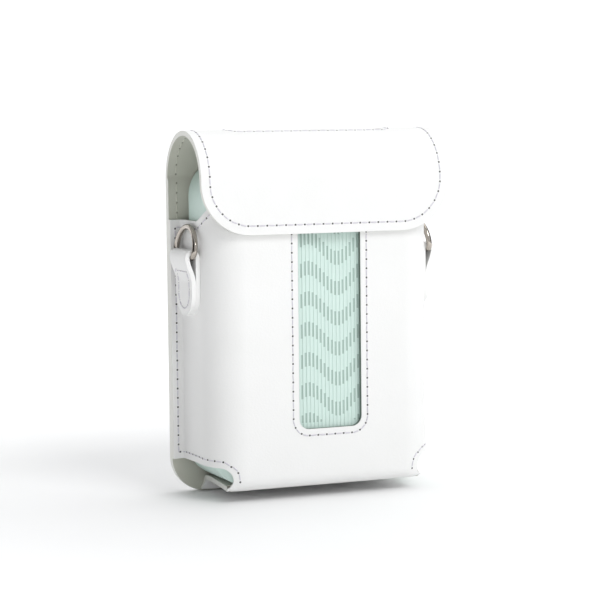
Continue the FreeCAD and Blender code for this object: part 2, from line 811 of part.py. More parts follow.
socket_body = block(
    "socket_body", "socket_long", "socket_deep", "socket_wide",
    "device_wide / 2 - 15", "socket_front", "socket_low",
)
socket_mouth = block(
    "socket_mouth", "6", "socket_deep - 0.8", "socket_wide - 0.8",
    "device_wide / 2 - 7", "socket_front + 0.4", "socket_low + 0.4",
)
node(cut("charging_socket", socket_body, [socket_mouth]), "charging_socket")

# ---------------------------------------------------------------- board, chips, battery
main_board = block(
    "main_board", "board_wide", "board_thin", "board_tall", "-board_wide / 2", "board_front", "board_low",
)
node(main_board, "main_board")
chips = doc.addObject("Part::Compound", "board_chips")
CHIPS = [
    ("processor", "9", "1.0", "6", "-28", "board_low + 58.5"),
    ("memory", "7", "0.9", "5", "-16", "board_low + 59"),
    ("radio", "6", "1.4", "6", "-6", "board_low + 58.5"),
    ("charger", "4", "0.8", "4", "24", "board_low + 16"),
]
placed = []
for name, wide, deep, tall, left, up in CHIPS:
    placed.append(block("chip_" + name, wide, deep, tall, left, f"board_front - {deep}", up))
chips.Links = placed
node(chips, "board_chips")
battery = block(
    "battery", "battery_wide", "battery_deep", "battery_tall",
    "battery_left", "battery_front", "battery_low",
)
node(battery, "battery")

# ---------------------------------------------------------------- film: cartridge, sheets, door springs
cartridge_front = "(film_plane - film_thick / 2 - cartridge_wall - 0.4)"
cartridge_shell = block(
    "cartridge_shell", "cartridge_wide", "cartridge_deep", "cartridge_tall",
    "-cartridge_wide / 2", cartridge_front, "cartridge_low",
)
cartridge_room = block(
    "cartridge_room", "cartridge_wide - 2 * cartridge_wall", "cartridge_deep - 2 * cartridge_wall",
    "cartridge_tall - 2 * cartridge_wall", "-cartridge_wide / 2 + cartridge_wall",
    f"{cartridge_front} + cartridge_wall", "cartridge_low + cartridge_wall",
)
cartridge_exit = block(
    "cartridge_exit", "film_wide + 1", "1.1", "10",
    "-film_wide / 2 - 0.5", "film_plane - film_thick / 2 - 0.4", "cartridge_low + cartridge_tall - 5",
)
exposure_window = block(
    "exposure_window", "film_wide - 2", "cartridge_wall + 1", "7",
    "-film_wide / 2 + 1", f"{cartridge_front} - 0.5", "94.5",
)
cartridge_tools = [cartridge_room, cartridge_exit, exposure_window]
node(cut("film_cartridge", cartridge_shell, cartridge_tools), "film_cartridge")
stack = doc.addObject("Part::Compound", "film_stack")
sheets = []
for number in range(8):
    sheets.append(
        block(f"stacked_{number}", "film_wide", "film_thick", "film_tall",
              "-film_wide / 2", f"film_plane + film_thick / 2 + 0.3 + {number} * (film_thick + 0.1)",
              "cartridge_low + 2")
    )
stack.Links = sheets
node(stack, "film_stack")
node(
    block("film_sheet", "film_wide", "film_thick", "film_tall",
          "-film_wide / 2", "film_plane - film_thick / 2", "film_low"),
    "film_sheet",
)


def door_spring(name, across):
    """A strip bent to an arc, between the cartridge and the film door."""
    item = doc.addObject("PartDesign::Body", name)
    strip = sketch_on(item, "YZ_Plane", across)
    back = device_rear - size("shell_thick") - 0.1
    rise = 2.4
    half = 22.0
    thick = 0.4
    middle = size("door_low") + size("door_tall") / 2
    closed(
        strip,
        (back, middle - half),
        ((back - rise, middle), (back, middle + half)),
        (back, middle + half - 2),
        ((back - rise + thick, middle), (back, middle - half + 2)),
    )
    pad(item, strip, "8")
    return item


springs = doc.addObject("Part::Compound", "door_springs")
springs.Links = [door_spring("spring_left", "-20"), door_spring("spring_right", "12")]
node(springs, "door_springs")

# ---------------------------------------------------------------- roller drive
nip = size("roller_round") + size("nip_play") + size("film_thick") / 2
module = 2 * nip / size("roller_teeth")
roller_y = {"front": size("film_plane") - nip, "rear": size("film_plane") + nip}
roller_words = {
    "front": "(film_plane - film_thick / 2 - nip_play - roller_round)",
    "rear": "(film_plane + film_thick / 2 + nip_play + roller_round)",
}


def pitch_radius(teeth):
    """Pitch radius of a gear of the drive's module."""
    return module * teeth / 2


def gear(name, teeth, centre_y, centre_z, tooth_at, bore):
    """A spur gear with involute teeth; one tooth points along the angle tooth_at (radians)."""
    pressure = math.radians(20)
    pitch = pitch_radius(teeth)
    base = pitch * math.cos(pressure)
    tip = pitch + 0.75 * module
    root = pitch - 1.15 * module
    backlash = 0.12

    def involute(angle):
        return math.tan(angle) - angle

    def half_angle(radius):
        """Half the tooth's angle at a radius."""
        here = math.acos(min(1.0, base / radius))
        return (math.pi / 2 / teeth - backlash / 2 / pitch + involute(pressure) - involute(here))

    steps = 5
    low = max(base, root)
    flank = [(root, half_angle(low))]
    for step in range(steps):
        radius = low + (tip - low) * step / (steps - 1)
        flank.append((radius, half_angle(radius)))
    points = []
    for tooth in range(teeth):
        middle = tooth_at + 2 * math.pi * tooth / teeth
        rim = [(radius, middle - turn) for radius, turn in flank]
        rim += [(radius, middle + turn) for radius, turn in reversed(flank)]
        for radius, angle in rim:
            points.append(Vector(0, centre_y + radius * math.cos(angle), centre_z + radius * math.sin(angle)))
    # a flank whose lowest point is the root itself gives the same point twice
    outline = [point for index, point in enumerate(points) if point.distanceToPoint(points[index - 1]) > 1e-6]
    outline.append(outline[0])
    face = Part.Face(Part.makePolygon(outline))
    solid = face.extrude(Vector(size("gear_thick"), 0, 0))
    solid = solid.cut(
        Part.makeCylinder(bore, size("gear_thick"), Vector(0, centre_y, centre_z), Vector(1, 0, 0))
    )
    item = doc.addObject("Part::Feature", name)
    item.Shape = solid
    item.Placement.Base = Vector(size("gear_start"), 0, 0)
    return item


def meshing_tooth(toward, teeth):
    """Tooth angle of a gear whose neighbour has a tooth pointing at it along `toward`."""
    return toward + math.pi + math.pi / teeth


nip_z = size("nip_high")
teeth_roller = int(size("roller_teeth"))
teeth_reduction = int(size("reduction_teeth"))
teeth_pinion = int(size("pinion_teeth"))
front_y = roller_y["front"]
rear_y = roller_y["rear"]
core = size("roller_core")

# the reduction gear hangs below the front roller, the pinion below and in front of it
fall = math.radians(-80)
span = pitch_radius(teeth_roller) + pitch_radius(teeth_reduction)
reduction_y = front_y + span * math.cos(fall)
reduction_z = nip_z + span * math.sin(fall)
pinion_y = -8.7
reach = pitch_radius(teeth_reduction) + pitch_radius(teeth_pinion)
pinion_z = reduction_z - math.sqrt(reach ** 2 - (pinion_y - reduction_y) ** 2)
drop = math.atan2(pinion_z - reduction_z, pinion_y - reduction_y)

for where, word in (("front", roller_words["front"]), ("rear", roller_words["rear"])):
    shaft_end = "gear_start + gear_thick + 0.6"
    node(
        rod(f"{where}_roller_shaft", "roller_core", f"{shaft_end} + plate_start + plate_thick + 0.6",
            "-plate_start - plate_thick - 0.6", word, "nip_high", "X"),
        f"{where}_roller_shaft",
    )
    sleeve = rod(f"{where}_sleeve", "roller_round", "roller_long", "-roller_long / 2", word, "nip_high", "X")
    sleeve_bore = rod(
        f"{where}_sleeve_bore", "roller_core", "roller_long + 2",
        "-roller_long / 2 - 1", word, "nip_high", "X",
    )
    node(cut(f"{where}_roller_rubber", sleeve, [sleeve_bore]), f"{where}_roller_rubber")

front_tooth = 0.0
rear_tooth = meshing_tooth(0.0, teeth_roller)
node(gear("front_roller_gear", teeth_roller, front_y, nip_z, front_tooth, core), "front_roller_gear")
node(gear("rear_roller_gear", teeth_roller, rear_y, nip_z, rear_tooth, core), "rear_roller_gear")
# carry the front gear's phase round to the line of centres of each further pair
pitch_turn = 2 * math.pi / teeth_roller
lead = (fall - front_tooth) % pitch_turn
reduction_tooth = meshing_tooth(fall, teeth_reduction) + lead * teeth_roller / teeth_reduction
AXLE = 1.0
axle_play = size("bearing_play")
node(
    gear("reduction_gear", teeth_reduction, reduction_y, reduction_z, reduction_tooth, AXLE + axle_play),
    "reduction_gear",
)
pitch_turn = 2 * math.pi / teeth_reduction
lead = (drop - reduction_tooth) % pitch_turn
pinion_tooth = meshing_tooth(drop, teeth_pinion) + lead * teeth_reduction / teeth_pinion
MOTOR_SHAFT = 0.75
pinion_wheel = gear("pinion_wheel", teeth_pinion, pinion_y, pinion_z, pinion_tooth, MOTOR_SHAFT - 0.2)
pinion_shaft = rod(
    "pinion_shaft", str(MOTOR_SHAFT), "gear_start + gear_thick - 26", "26",
    str(pinion_y), str(pinion_z), "X",
)
node(fused("motor_pinion", [pinion_wheel, pinion_shaft]), "motor_pinion")

motor_can = rod("motor_can", "4.4", "20", "10", str(pinion_y), str(pinion_z), "X")
motor_bore = rod(
    "motor_bore", f"{MOTOR_SHAFT} + bearing_play", "10", "25.5", str(pinion_y), str(pinion_z), "X",
)
node(cut("motor", motor_can, [motor_bore]), "motor")

# ---------------------------------------------------------------- chassis and print head
base_plate = block(
    "base_plate", "2 * plate_start", "plate_thick / 2", "78",
    "-plate_start", "-3.45", "16",
)
side_plates = []
for side, start in (("left", "-plate_start - plate_thick"), ("right", "plate_start")):
    side_plates.append(
        block(f"side_plate_{side}", "plate_thick", "14", "100", start, "-6 + 2", "16")
    )
    side_plates.append(
        block(f"bearing_plate_{side}", "plate_thick", "20.5", "34", start, "-10.5", "84")
    )
axle = rod(
    "axle", str(AXLE), "gear_thick + gear_start - plate_start - plate_thick + 0.5",
    "plate_start + plate_thick", str(reduction_y), str(reduction_z), "X",
)
bearings = []
for where in ("front", "rear"):
    bearings.append(
        rod(f"{where}_bearing", "roller_core + bearing_play", "case_wide",
            "-case_wide / 2", roller_words[where], "nip_high", "X")
    )
motor_hole = rod("motor_hole", "1.5", "6", "plate_start - 2", str(pinion_y), str(pinion_z), "X")
frame_solid = fused("chassis_solid", [base_plate, axle] + side_plates)
node(cut("chassis", frame_solid, bearings + [motor_hole]), "chassis")
node(
    block("print_head", "58", "4.6", "5.5", "-29", f"{cartridge_front} - 0.3 - 4.6", "95"),
    "print_head",
)

# ---------------------------------------------------------------- checks and export
doc.recompute()
failed = []
for item in doc.Objects:
    if "Invalid" in item.State or "Error" in item.State:
        failed.append(item.Name)
for item in nodes:
    if item.Shape.isNull() or not item.Shape.isValid():
        failed.append(item.Label)
if failed:
    raise SystemExit("failed objects: " + ", ".join(failed))

os.makedirs("parts", exist_ok=True)
for item in nodes:
    item.Shape.exportStep(f"parts/{item.Label}.step")
    solids = len(item.Shape.Solids)
    print(f"{item.Label:22s} solids {solids:2d}  volume {item.Shape.Volume:10.1f} mm3")
print("gear centres", round(reduction_y, 3), round(reduction_z, 3), pinion_y, round(pinion_z, 3))
print("roller centres", round(front_y, 3), round(rear_y, 3), "module", round(module, 4))
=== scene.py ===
import bmesh
import bpy
import numpy as np
from mathutils import Matrix, Vector


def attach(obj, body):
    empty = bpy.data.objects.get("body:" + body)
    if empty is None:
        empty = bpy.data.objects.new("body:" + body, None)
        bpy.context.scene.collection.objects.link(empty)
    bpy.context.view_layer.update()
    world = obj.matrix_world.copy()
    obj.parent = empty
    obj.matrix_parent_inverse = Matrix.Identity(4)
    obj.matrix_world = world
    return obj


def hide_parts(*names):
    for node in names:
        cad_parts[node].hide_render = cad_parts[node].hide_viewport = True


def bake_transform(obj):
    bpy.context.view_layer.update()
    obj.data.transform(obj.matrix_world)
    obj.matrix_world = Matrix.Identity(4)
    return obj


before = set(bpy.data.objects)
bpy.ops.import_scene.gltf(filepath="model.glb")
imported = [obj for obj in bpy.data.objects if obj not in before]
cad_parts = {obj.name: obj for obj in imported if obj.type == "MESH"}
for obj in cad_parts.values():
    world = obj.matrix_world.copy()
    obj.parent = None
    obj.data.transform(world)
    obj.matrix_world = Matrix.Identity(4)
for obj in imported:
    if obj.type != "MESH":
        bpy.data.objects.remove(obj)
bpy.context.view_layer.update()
bpy.context.scene.view_settings.view_transform = "Standard"
bpy.context.scene.view_settings.look = "None"


# ---------------------------------------------------------------- flap and back panel
# One hide of white coated leather, lined with grey-beige microfibre, stiffened by a board in the
# back. It runs up the back, arches over the top and hangs down the front. Its edge is painted.
BACK_RISE = 123.4
ARCH_DEEP = 20.65
ARCH_TALL = 19.7
ARCH_TURN = np.linspace(0.0, np.pi, 721)
ARCH_STEP = np.hypot(ARCH_DEEP * np.diff(np.cos(ARCH_TURN)), ARCH_TALL * np.diff(np.sin(ARCH_TURN)))
ARCH_RUN = np.concatenate([[0.0], np.cumsum(ARCH_STEP)])
FLAP_DROP = 20.1
HIDE_LONG = BACK_RISE + ARCH_RUN[-1] + FLAP_DROP
HIDE_HALF = 51.5
BACK_CORNER = 14.0
FLAP_CORNER = 20.0
CROWN = BACK_RISE + ARCH_RUN[-1] / 2
SLOT_HALF = 29.0
SLOT_ROUND = 3.0
BACK_THICK = 3.0
FLAP_THICK = 2.0


def hide_point(across, run, above=0.0):
    """Where a spot of the hide lies. The run goes up the back, along a half ellipse by its arc
    length, then down the front. Above lifts the spot off the outer face, along its normal."""
    along = np.clip(run - BACK_RISE, 0.0, ARCH_RUN[-1])
    turn = np.interp(along, ARCH_RUN, ARCH_TURN)
    lean = np.hypot(np.cos(turn) / ARCH_DEEP, np.sin(turn) / ARCH_TALL)
    facing_back = np.cos(turn) / ARCH_DEEP / lean
    facing_up = np.sin(turn) / ARCH_TALL / lean
    back = ARCH_DEEP * np.cos(turn) + above * facing_back
    up = BACK_RISE + ARCH_TALL * np.sin(turn) + above * facing_up
    up = up + np.minimum(run - BACK_RISE, 0.0) - np.maximum(run - BACK_RISE - ARCH_RUN[-1], 0.0)
    return np.stack([across + 0.0 * run, back + 0.0 * across, up + 0.0 * across], axis=-1)


def hide_half(run, inset=0.0):
    """Half width of the hide at a run: straight sides, and quarter circles at the corners."""
    low = np.clip(BACK_CORNER - run, 0.0, BACK_CORNER - inset)
    high = np.clip(run - (HIDE_LONG - FLAP_CORNER), 0.0, FLAP_CORNER - inset)
    half_low = np.sqrt(np.maximum((BACK_CORNER - inset) ** 2 - low ** 2, 0.0)) - BACK_CORNER
    half_high = np.sqrt(np.maximum((FLAP_CORNER - inset) ** 2 - high ** 2, 0.0)) - FLAP_CORNER
    return HIDE_HALF + np.minimum(half_low, half_high)


def surface(name, points, left_out=None, around=False, looped=False, flat=None):
    """A mesh of four-sided faces over a grid of points in millimetres. It faces along rows x
    columns. Around joins the last column to the first, and looped the last row. Left_out marks
    faces that aren't made, and flat is the grid's place on the flat hide."""
    rows, columns = points.shape[:2]
    index = np.arange(rows * columns).reshape(rows, columns)
    if looped:
        index = np.concatenate([index, index[:1]])
    following = np.roll(index, -1, axis=1) if around else index[:, 1:]
    here = index if around else index[:, :-1]
    quads = np.stack([here[:-1], here[1:], following[1:], following[:-1]], axis=-1)
    if left_out is not None:
        quads = quads[~left_out]
    quads = quads.reshape(-1, 4)
    used, inverse = np.unique(quads, return_inverse=True)
    quads = inverse.reshape(-1, 4)
    mesh = bpy.data.meshes.new(name)
    mesh.from_pydata((points.reshape(-1, 3)[used] * 0.001).tolist(), [], quads.tolist())
    if flat is not None:
        layer = mesh.uv_layers.new(name="hide")
        spots = flat.reshape(-1, 2)[used][quads.ravel()] * 0.001
        layer.data.foreach_set("uv", spots.astype(np.float32).ravel())
    mesh.shade_smooth()
    mesh.update()
    piece = bpy.data.objects.new(name, mesh)
    bpy.context.scene.collection.objects.link(piece)
    return piece


def thickened(piece, thick, rim=0.35, steps=3):
    """Gives a hide its thickness on the inner side, with a rounded rim."""
    ply = piece.modifiers.new("thickness", "SOLIDIFY")
    ply.thickness = thick * 0.001
    ply.offset = -1.0
    ply.use_even_offset = True
    ply.use_quality_normals = True
    ply.material_offset = 1
    ply.material_offset_rim = 2
    edge = piece.modifiers.new("rim", "BEVEL")
    edge.width = rim * 0.001
    edge.segments = steps
    edge.limit_method = "ANGLE"
    edge.angle_limit = np.radians(50.0)
    edge.harden_normals = True
    return ply


def wire(tree, *links):
    """Joins pairs of sockets."""
    for start, end in links:
        tree.links.new(start, end)


def grain_group():
    """Leather grain: rounded cells with fine noise between them. Height is the cells' height,
    and Tone is a slow cloud from 0 to 1."""
    group = bpy.data.node_groups.new("leather_grain", "ShaderNodeTree")
    group.interface.new_socket("Place", in_out="INPUT", socket_type="NodeSocketVector")
    group.interface.new_socket("Cells", in_out="INPUT", socket_type="NodeSocketFloat")
    group.interface.new_socket("Height", in_out="OUTPUT", socket_type="NodeSocketFloat")
    group.interface.new_socket("Tone", in_out="OUTPUT", socket_type="NodeSocketFloat")
    start = group.nodes.new("NodeGroupInput")
    end = group.nodes.new("NodeGroupOutput")
    cells = group.nodes.new("ShaderNodeTexVoronoi")
    cells.feature = "SMOOTH_F1"
    fine = group.nodes.new("ShaderNodeTexNoise")
    fine.inputs["Detail"].default_value = 4.0
    fine.inputs["Roughness"].default_value = 0.6
    mixed = group.nodes.new("ShaderNodeMix")
    mixed.inputs["Factor"].default_value = 0.4
    cloud = group.nodes.new("ShaderNodeTexNoise")
    cloud.inputs["Scale"].default_value = 45.0
    cloud.inputs["Detail"].default_value = 3.0
    wire(group,
         (start.outputs["Place"], cells.inputs["Vector"]),
         (start.outputs["Place"], fine.inputs["Vector"]),
         (start.outputs["Place"], cloud.inputs["Vector"]),
         (start.outputs["Cells"], cells.inputs["Scale"]),
         (start.outputs["Cells"], fine.inputs["Scale"]),
         (cells.outputs["Distance"], mixed.inputs["A"]),
         (fine.outputs["Fac"], mixed.inputs["B"]),
         (mixed.outputs["Result"], end.inputs["Height"]),
         (cloud.outputs["Fac"], end.inputs["Tone"]))
    return group


GRAIN = grain_group()


def grained(name, pale, deep, rough, cells, relief, place="Object", **plain):
    """A finish whose colour drifts slowly between two tones, with cells of grain as its relief.
    Cells is cells to the metre, relief is millimetres, and plain goes to the shader as it is."""
    finish = bpy.data.materials.new(name)
    finish.use_nodes = True
    tree = finish.node_tree
    shader = tree.nodes["Principled BSDF"]
    where = tree.nodes.new("ShaderNodeTexCoord")
    grain = tree.nodes.new("ShaderNodeGroup")
    grain.node_tree = GRAIN
    grain.inputs["Cells"].default_value = cells
    colour = tree.nodes.new("ShaderNodeMix")
    colour.data_type = "RGBA"
    colour.inputs["A"].default_value = (*deep, 1.0)
    colour.inputs["B"].default_value = (*pale, 1.0)
    gloss = tree.nodes.new("ShaderNodeMapRange")
    gloss.inputs["To Min"].default_value = rough + 0.06
    gloss.inputs["To Max"].default_value = rough - 0.06
    bump = tree.nodes.new("ShaderNodeBump")
    bump.inputs["Distance"].default_value = relief * 0.001
    bump.inputs["Strength"].default_value = 0.8
    wire(tree,
         (where.outputs[place], grain.inputs["Place"]),
         (grain.outputs["Tone"], colour.inputs["Factor"]),
         (grain.outputs["Tone"], gloss.inputs["Value"]),
         (grain.outputs["Height"], bump.inputs["Height"]),
         (colour.outputs["Result"], shader.inputs["Base Color"]),
         (gloss.outputs["Result"], shader.inputs["Roughness"]),
         (bump.outputs["Normal"], shader.inputs["Normal"]))
    for socket, value in plain.items():
        shader.inputs[socket.replace("_", " ")].default_value = value
    return finish


LEATHER = grained("white_leather", (0.87, 0.87, 0.865), (0.83, 0.83, 0.82), 0.46, 1500.0, 0.06, "UV",
                  Specular_IOR_Level=0.4, Sheen_Weight=0.06)
LINING = grained("beige_lining", (0.60, 0.60, 0.53), (0.50, 0.50, 0.44), 0.85, 2600.0, 0.06, "UV",
                 Sheen_Weight=0.25)
EDGE_PAINT = grained("edge_paint", (0.80, 0.80, 0.76), (0.73, 0.73, 0.69), 0.42, 900.0, 0.04)

corner_turn = np.linspace(0.0, np.pi / 2, 13)
slot_turn = np.linspace(-np.pi / 2, np.pi / 2, 11)
hide_runs = np.unique(np.round(np.concatenate([
    BACK_CORNER * (1.0 - np.cos(corner_turn)),
    np.linspace(BACK_CORNER, BACK_RISE, 20),
    BACK_RISE + np.linspace(0.0, ARCH_RUN[-1], 45)[1:-1],
    CROWN + SLOT_ROUND * np.sin(slot_turn),
    HIDE_LONG - FLAP_CORNER + FLAP_CORNER * np.sin(corner_turn),
]), 4))
near_crown = np.abs(hide_runs - CROWN)
keep = (near_crown < SLOT_ROUND + 1e-3) | (near_crown > SLOT_ROUND + 0.5)
hide_runs = hide_runs[keep & np.append(np.diff(hide_runs) > 0.02, True)]
slot_columns = np.linspace(-1.0, 1.0, 25)
side_columns = np.linspace(0.0, 1.0, 12)[1:]
run = hide_runs[:, None]
off_crown = np.abs(run - CROWN)
slot_end = SLOT_HALF + np.sqrt(np.maximum(SLOT_ROUND ** 2 - off_crown ** 2, 0.0))
away = np.clip((off_crown - SLOT_ROUND) / 12.0, 0.0, 1.0)
slot_end = slot_end + (0.6 * hide_half(run) - slot_end) * away * away * (3.0 - 2.0 * away)
middle = slot_end * slot_columns[None]
right_side = slot_end + (hide_half(run) - slot_end) * side_columns[None]
across = np.concatenate([-right_side[:, ::-1], middle, right_side], axis=1)
hide_points = hide_point(across, run)
slot_rows = np.maximum(off_crown[:-1], off_crown[1:]) < SLOT_ROUND + 1e-3
in_slot = np.zeros(across.shape[1] - 1, bool)
in_slot[11:-11] = True
hide = surface("flap_and_back", hide_points, left_out=slot_rows & in_slot[None],
               flat=np.stack([across, run + 0.0 * across], axis=-1))
hide.data.materials.append(LEATHER)
hide.data.materials.append(LINING)
hide.data.materials.append(EDGE_PAINT)
ply = thickened(hide, BACK_THICK)
thin = hide.vertex_groups.new(name="thickness")
hide_spots = np.empty(len(hide.data.vertices) * 3, np.float32)
hide.data.vertices.foreach_get("co", hide_spots)
hide_spots = hide_spots.reshape(-1, 3)
is_flap = (hide_spots[:, 2] > BACK_RISE * 0.001) | (hide_spots[:, 1] < 0.0)
thin.add(np.flatnonzero(~is_flap).tolist(), 1.0, "REPLACE")
thin.add(np.flatnonzero(is_flap).tolist(), FLAP_THICK / BACK_THICK, "REPLACE")
ply.vertex_group = "thickness"
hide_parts("back_leather", "back_board", "back_lining", "flap_leather", "flap_lining")
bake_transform(hide)


# ---------------------------------------------------------------- saddle stitches of the hide
# Pale lilac-grey waxed thread, one short stitch between two awl holes, 3.5 mm in from the edge.
# The same seam comes out in beige on the lining, and a loop of it frames the slot.
THREAD = grained("waxed_thread", (0.72, 0.70, 0.75), (0.58, 0.56, 0.62), 0.6, 5200.0, 0.05,
                 Sheen_Weight=0.3)
# The awl holes are flat dark beads on the surface: painted shade standing in for their depth.
PAINTED_HOLE_SHADE = grained("painted_hole_shade", (0.13, 0.13, 0.13), (0.07, 0.07, 0.07), 0.9, 2600.0, 0.02)
BEIGE_THREAD = grained("beige_thread", (0.66, 0.66, 0.58), (0.55, 0.55, 0.48), 0.7, 5200.0, 0.05)
BEIGE_PAINTED_HOLE_SHADE = grained("beige_painted_hole_shade", (0.34, 0.34, 0.29), (0.26, 0.26, 0.22), 0.9, 2600.0, 0.02)
STITCH_LONG = 2.7
STITCH_WIDE = 0.62
STITCH_HIGH = 0.36


def stitches(name, path, normals, pitch, closed=False, hole=0.88, thread=THREAD, awl=PAINTED_HOLE_SHADE):
    """A seam along a dense path of points in millimetres. The path is divided evenly. Each stitch
    is an ellipsoid with blunt ends, laid along the path, and each hole a flat dark bead, which is
    painted shade standing in for the hole's depth."""
    if closed:
        path = np.concatenate([path, path[:1]])
        normals = np.concatenate([normals, normals[:1]])
    step = np.linalg.norm(np.diff(path, axis=0), axis=1)
    length = np.concatenate([[0.0], np.cumsum(step)])
    count = max(int(round(length[-1] / pitch)), 1)
    middles = (np.arange(count) + 0.5) * length[-1] / count
    ends = np.arange(count if closed else count + 1) * length[-1] / count

    def at(where, values):
        return np.stack([np.interp(where, length, values[:, axis]) for axis in range(3)], axis=-1)

    def frames(where):
        ahead = at(np.minimum(where + 0.3, length[-1]), path) - at(np.maximum(where - 0.3, 0.0), path)
        ahead = ahead / np.linalg.norm(ahead, axis=1, keepdims=True)
        up = at(where, normals)
        side = np.cross(up, ahead)
        side = side / np.linalg.norm(side, axis=1, keepdims=True)
        return at(where, path), ahead, side, np.cross(ahead, side)

    def beads(where, long, wide, high, rings, spokes, sink, rise):
        lift = np.linspace(0.0, np.pi, rings)[:, None]
        turn = np.linspace(0.0, 2.0 * np.pi, spokes, endpoint=False)[None]
        ahead = -long / 2 * np.sign(np.cos(lift)) * np.abs(np.cos(lift)) ** 0.6 + 0.0 * turn
        side = wide / 2 * np.sin(lift) * np.cos(turn)
        up = high * (np.sin(lift) * np.sin(turn)) - sink
        spot, forward, sideways, upward = frames(where)
        slope = rise * np.sin(np.arange(len(where)) * 2.4)[:, None, None, None]
        grid = spot[:, None, None] + ahead[None, ..., None] * forward[:, None, None]
        grid = grid + (side[None, ..., None] + slope * ahead[None, ..., None]) * sideways[:, None, None]
        grid = grid + up[None, ..., None] * upward[:, None, None]
        index = np.arange(len(where) * rings * spokes).reshape(len(where), rings, spokes)
        after = np.roll(index, -1, axis=2)
        quads = np.stack([index[:, :-1], after[:, :-1], after[:, 1:], index[:, 1:]], axis=-1)
        return grid.reshape(-1, 3), quads.reshape(-1, 4)

    sewn, sewn_faces = beads(middles, STITCH_LONG, STITCH_WIDE, STITCH_HIGH, 6, 6, 0.04, 0.05)
    holes, hole_faces = beads(ends, hole, hole, 0.1, 4, 8, 0.02, 0.0)
    mesh = bpy.data.meshes.new(name)
    points = np.concatenate([sewn, holes]) * 0.001
    faces = np.concatenate([sewn_faces, hole_faces + len(sewn)])
    mesh.from_pydata(points.tolist(), [], faces.tolist())
    mesh.materials.append(thread)
    mesh.materials.append(awl)
    kinds = np.repeat([0, 1], [len(sewn_faces), len(hole_faces)])
    mesh.polygons.foreach_set("material_index", kinds.astype(np.int32))
    welded = bmesh.new()
    welded.from_mesh(mesh)
    bmesh.ops.remove_doubles(welded, verts=welded.verts, dist=1e-7)
    welded.to_mesh(mesh)
    welded.free()
    mesh.shade_smooth()
    mesh.update()
    piece = bpy.data.objects.new(name, mesh)
    bpy.context.scene.collection.objects.link(piece)
    return piece


def hide_seam(name, across, run, outer=True, pitch=3.85, closed=False):
    """A seam on the hide's outer face, or on its lining, along a line drawn on the flat hide."""
    depth = 0.0 if outer else -np.where(run < BACK_RISE, BACK_THICK, FLAP_THICK)
    path = hide_point(across, run, depth)
    lifted = hide_point(across, run, depth + (1.0 if outer else -1.0))
    thread, awl = (THREAD, PAINTED_HOLE_SHADE) if outer else (BEIGE_THREAD, BEIGE_PAINTED_HOLE_SHADE)
    piece = stitches(name, path, lifted - path, pitch, closed, thread=thread, awl=awl)
    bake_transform(piece)
    return piece


SEAM_END = 107.0
flap_line = np.linspace(HIDE_LONG - FLAP_CORNER, SEAM_END, 90)
flap_turn = np.linspace(0.0, np.pi / 2, 40)
seam_inset = 3.5
corner_across = HIDE_HALF - FLAP_CORNER + (FLAP_CORNER - seam_inset) * np.cos(flap_turn)
corner_run = HIDE_LONG - FLAP_CORNER + (FLAP_CORNER - seam_inset) * np.sin(flap_turn)
half_across = np.concatenate([np.full(90, HIDE_HALF - seam_inset)[::-1], corner_across])
half_run = np.concatenate([flap_line[::-1], corner_run])
seam_across = np.concatenate([half_across, -half_across[::-1]])
seam_run = np.concatenate([half_run, half_run[::-1]])
hide_seam("flap_seam_outside", seam_across, seam_run)
hide_seam("flap_seam_inside", seam_across, seam_run, outer=False)

loop_round = SLOT_ROUND + 2.6
loop_turn = np.linspace(0.0, 2.0 * np.pi, 120, endpoint=False)
loop_across = SLOT_HALF * np.sign(np.cos(loop_turn)) + loop_round * np.cos(loop_turn)
loop_run = CROWN + loop_round * np.sin(loop_turn)
hide_seam("slot_seam_outside", loop_across, loop_run, closed=True)
hide_seam("slot_seam_inside", loop_across, loop_run, outer=False, closed=True)

hem_turn = np.linspace(0.0, np.pi / 2, 30)
hem_inset = 2.0
hem_across = HIDE_HALF - BACK_CORNER + (BACK_CORNER - hem_inset) * np.cos(hem_turn)
hem_run = BACK_CORNER - (BACK_CORNER - hem_inset) * np.sin(hem_turn)
hem_across = np.concatenate([np.full(60, HIDE_HALF - hem_inset), hem_across])
hem_run = np.concatenate([np.linspace(SEAM_END - 2.0, BACK_CORNER, 60), hem_run])
hide_seam("back_seam_outside", np.concatenate([hem_across, -hem_across[::-1]]),
          np.concatenate([hem_run, hem_run[::-1]]))


# ---------------------------------------------------------------- pocket
# One blank of the same leather, lined. It wraps the sides and the front, its flanges are sewn to
# the back panel, and its tongue folds under the front and is sewn along the hem.
POCKET_HALF = 47.15
POCKET_ROUND = 14.0
FRONT_FLAT = POCKET_HALF - POCKET_ROUND
POCKET_FRONT = -18.35
POCKET_THICK = 1.85
FLANGE_FACE = 15.8
CREASE_ROUND = 1.3
HEM = 4.4
FOLD_ROUND = 5.0
POCKET_TOP = 123.0
WING_TOP = 108.2
WING_LOW = HEM + 9.3
RISE_START = 20.0
RISE_LONG = 27.0
FRAME_EDGE = 16.0
TONGUE_FLARE = 1.4
TONGUE_HALF = 38.6
TONGUE_LOBE = 41.0
LOBE_STEP = 0.45
NOTCH_START = 38.9
NOTCH_RUN = FRONT_FLAT + POCKET_ROUND * np.arcsin((NOTCH_START - FRONT_FLAT) / POCKET_ROUND)
NOTCH_LONG = 5.0
CORNER_RUN = FRONT_FLAT + POCKET_ROUND * np.pi / 2
SIDE_RUN = CORNER_RUN + FLANGE_FACE - CREASE_ROUND - (POCKET_FRONT + POCKET_ROUND)
CREASE_RUN = SIDE_RUN + CREASE_ROUND * np.pi / 2
FLANGE_RUN = CREASE_RUN + HIDE_HALF - POCKET_HALF - CREASE_ROUND


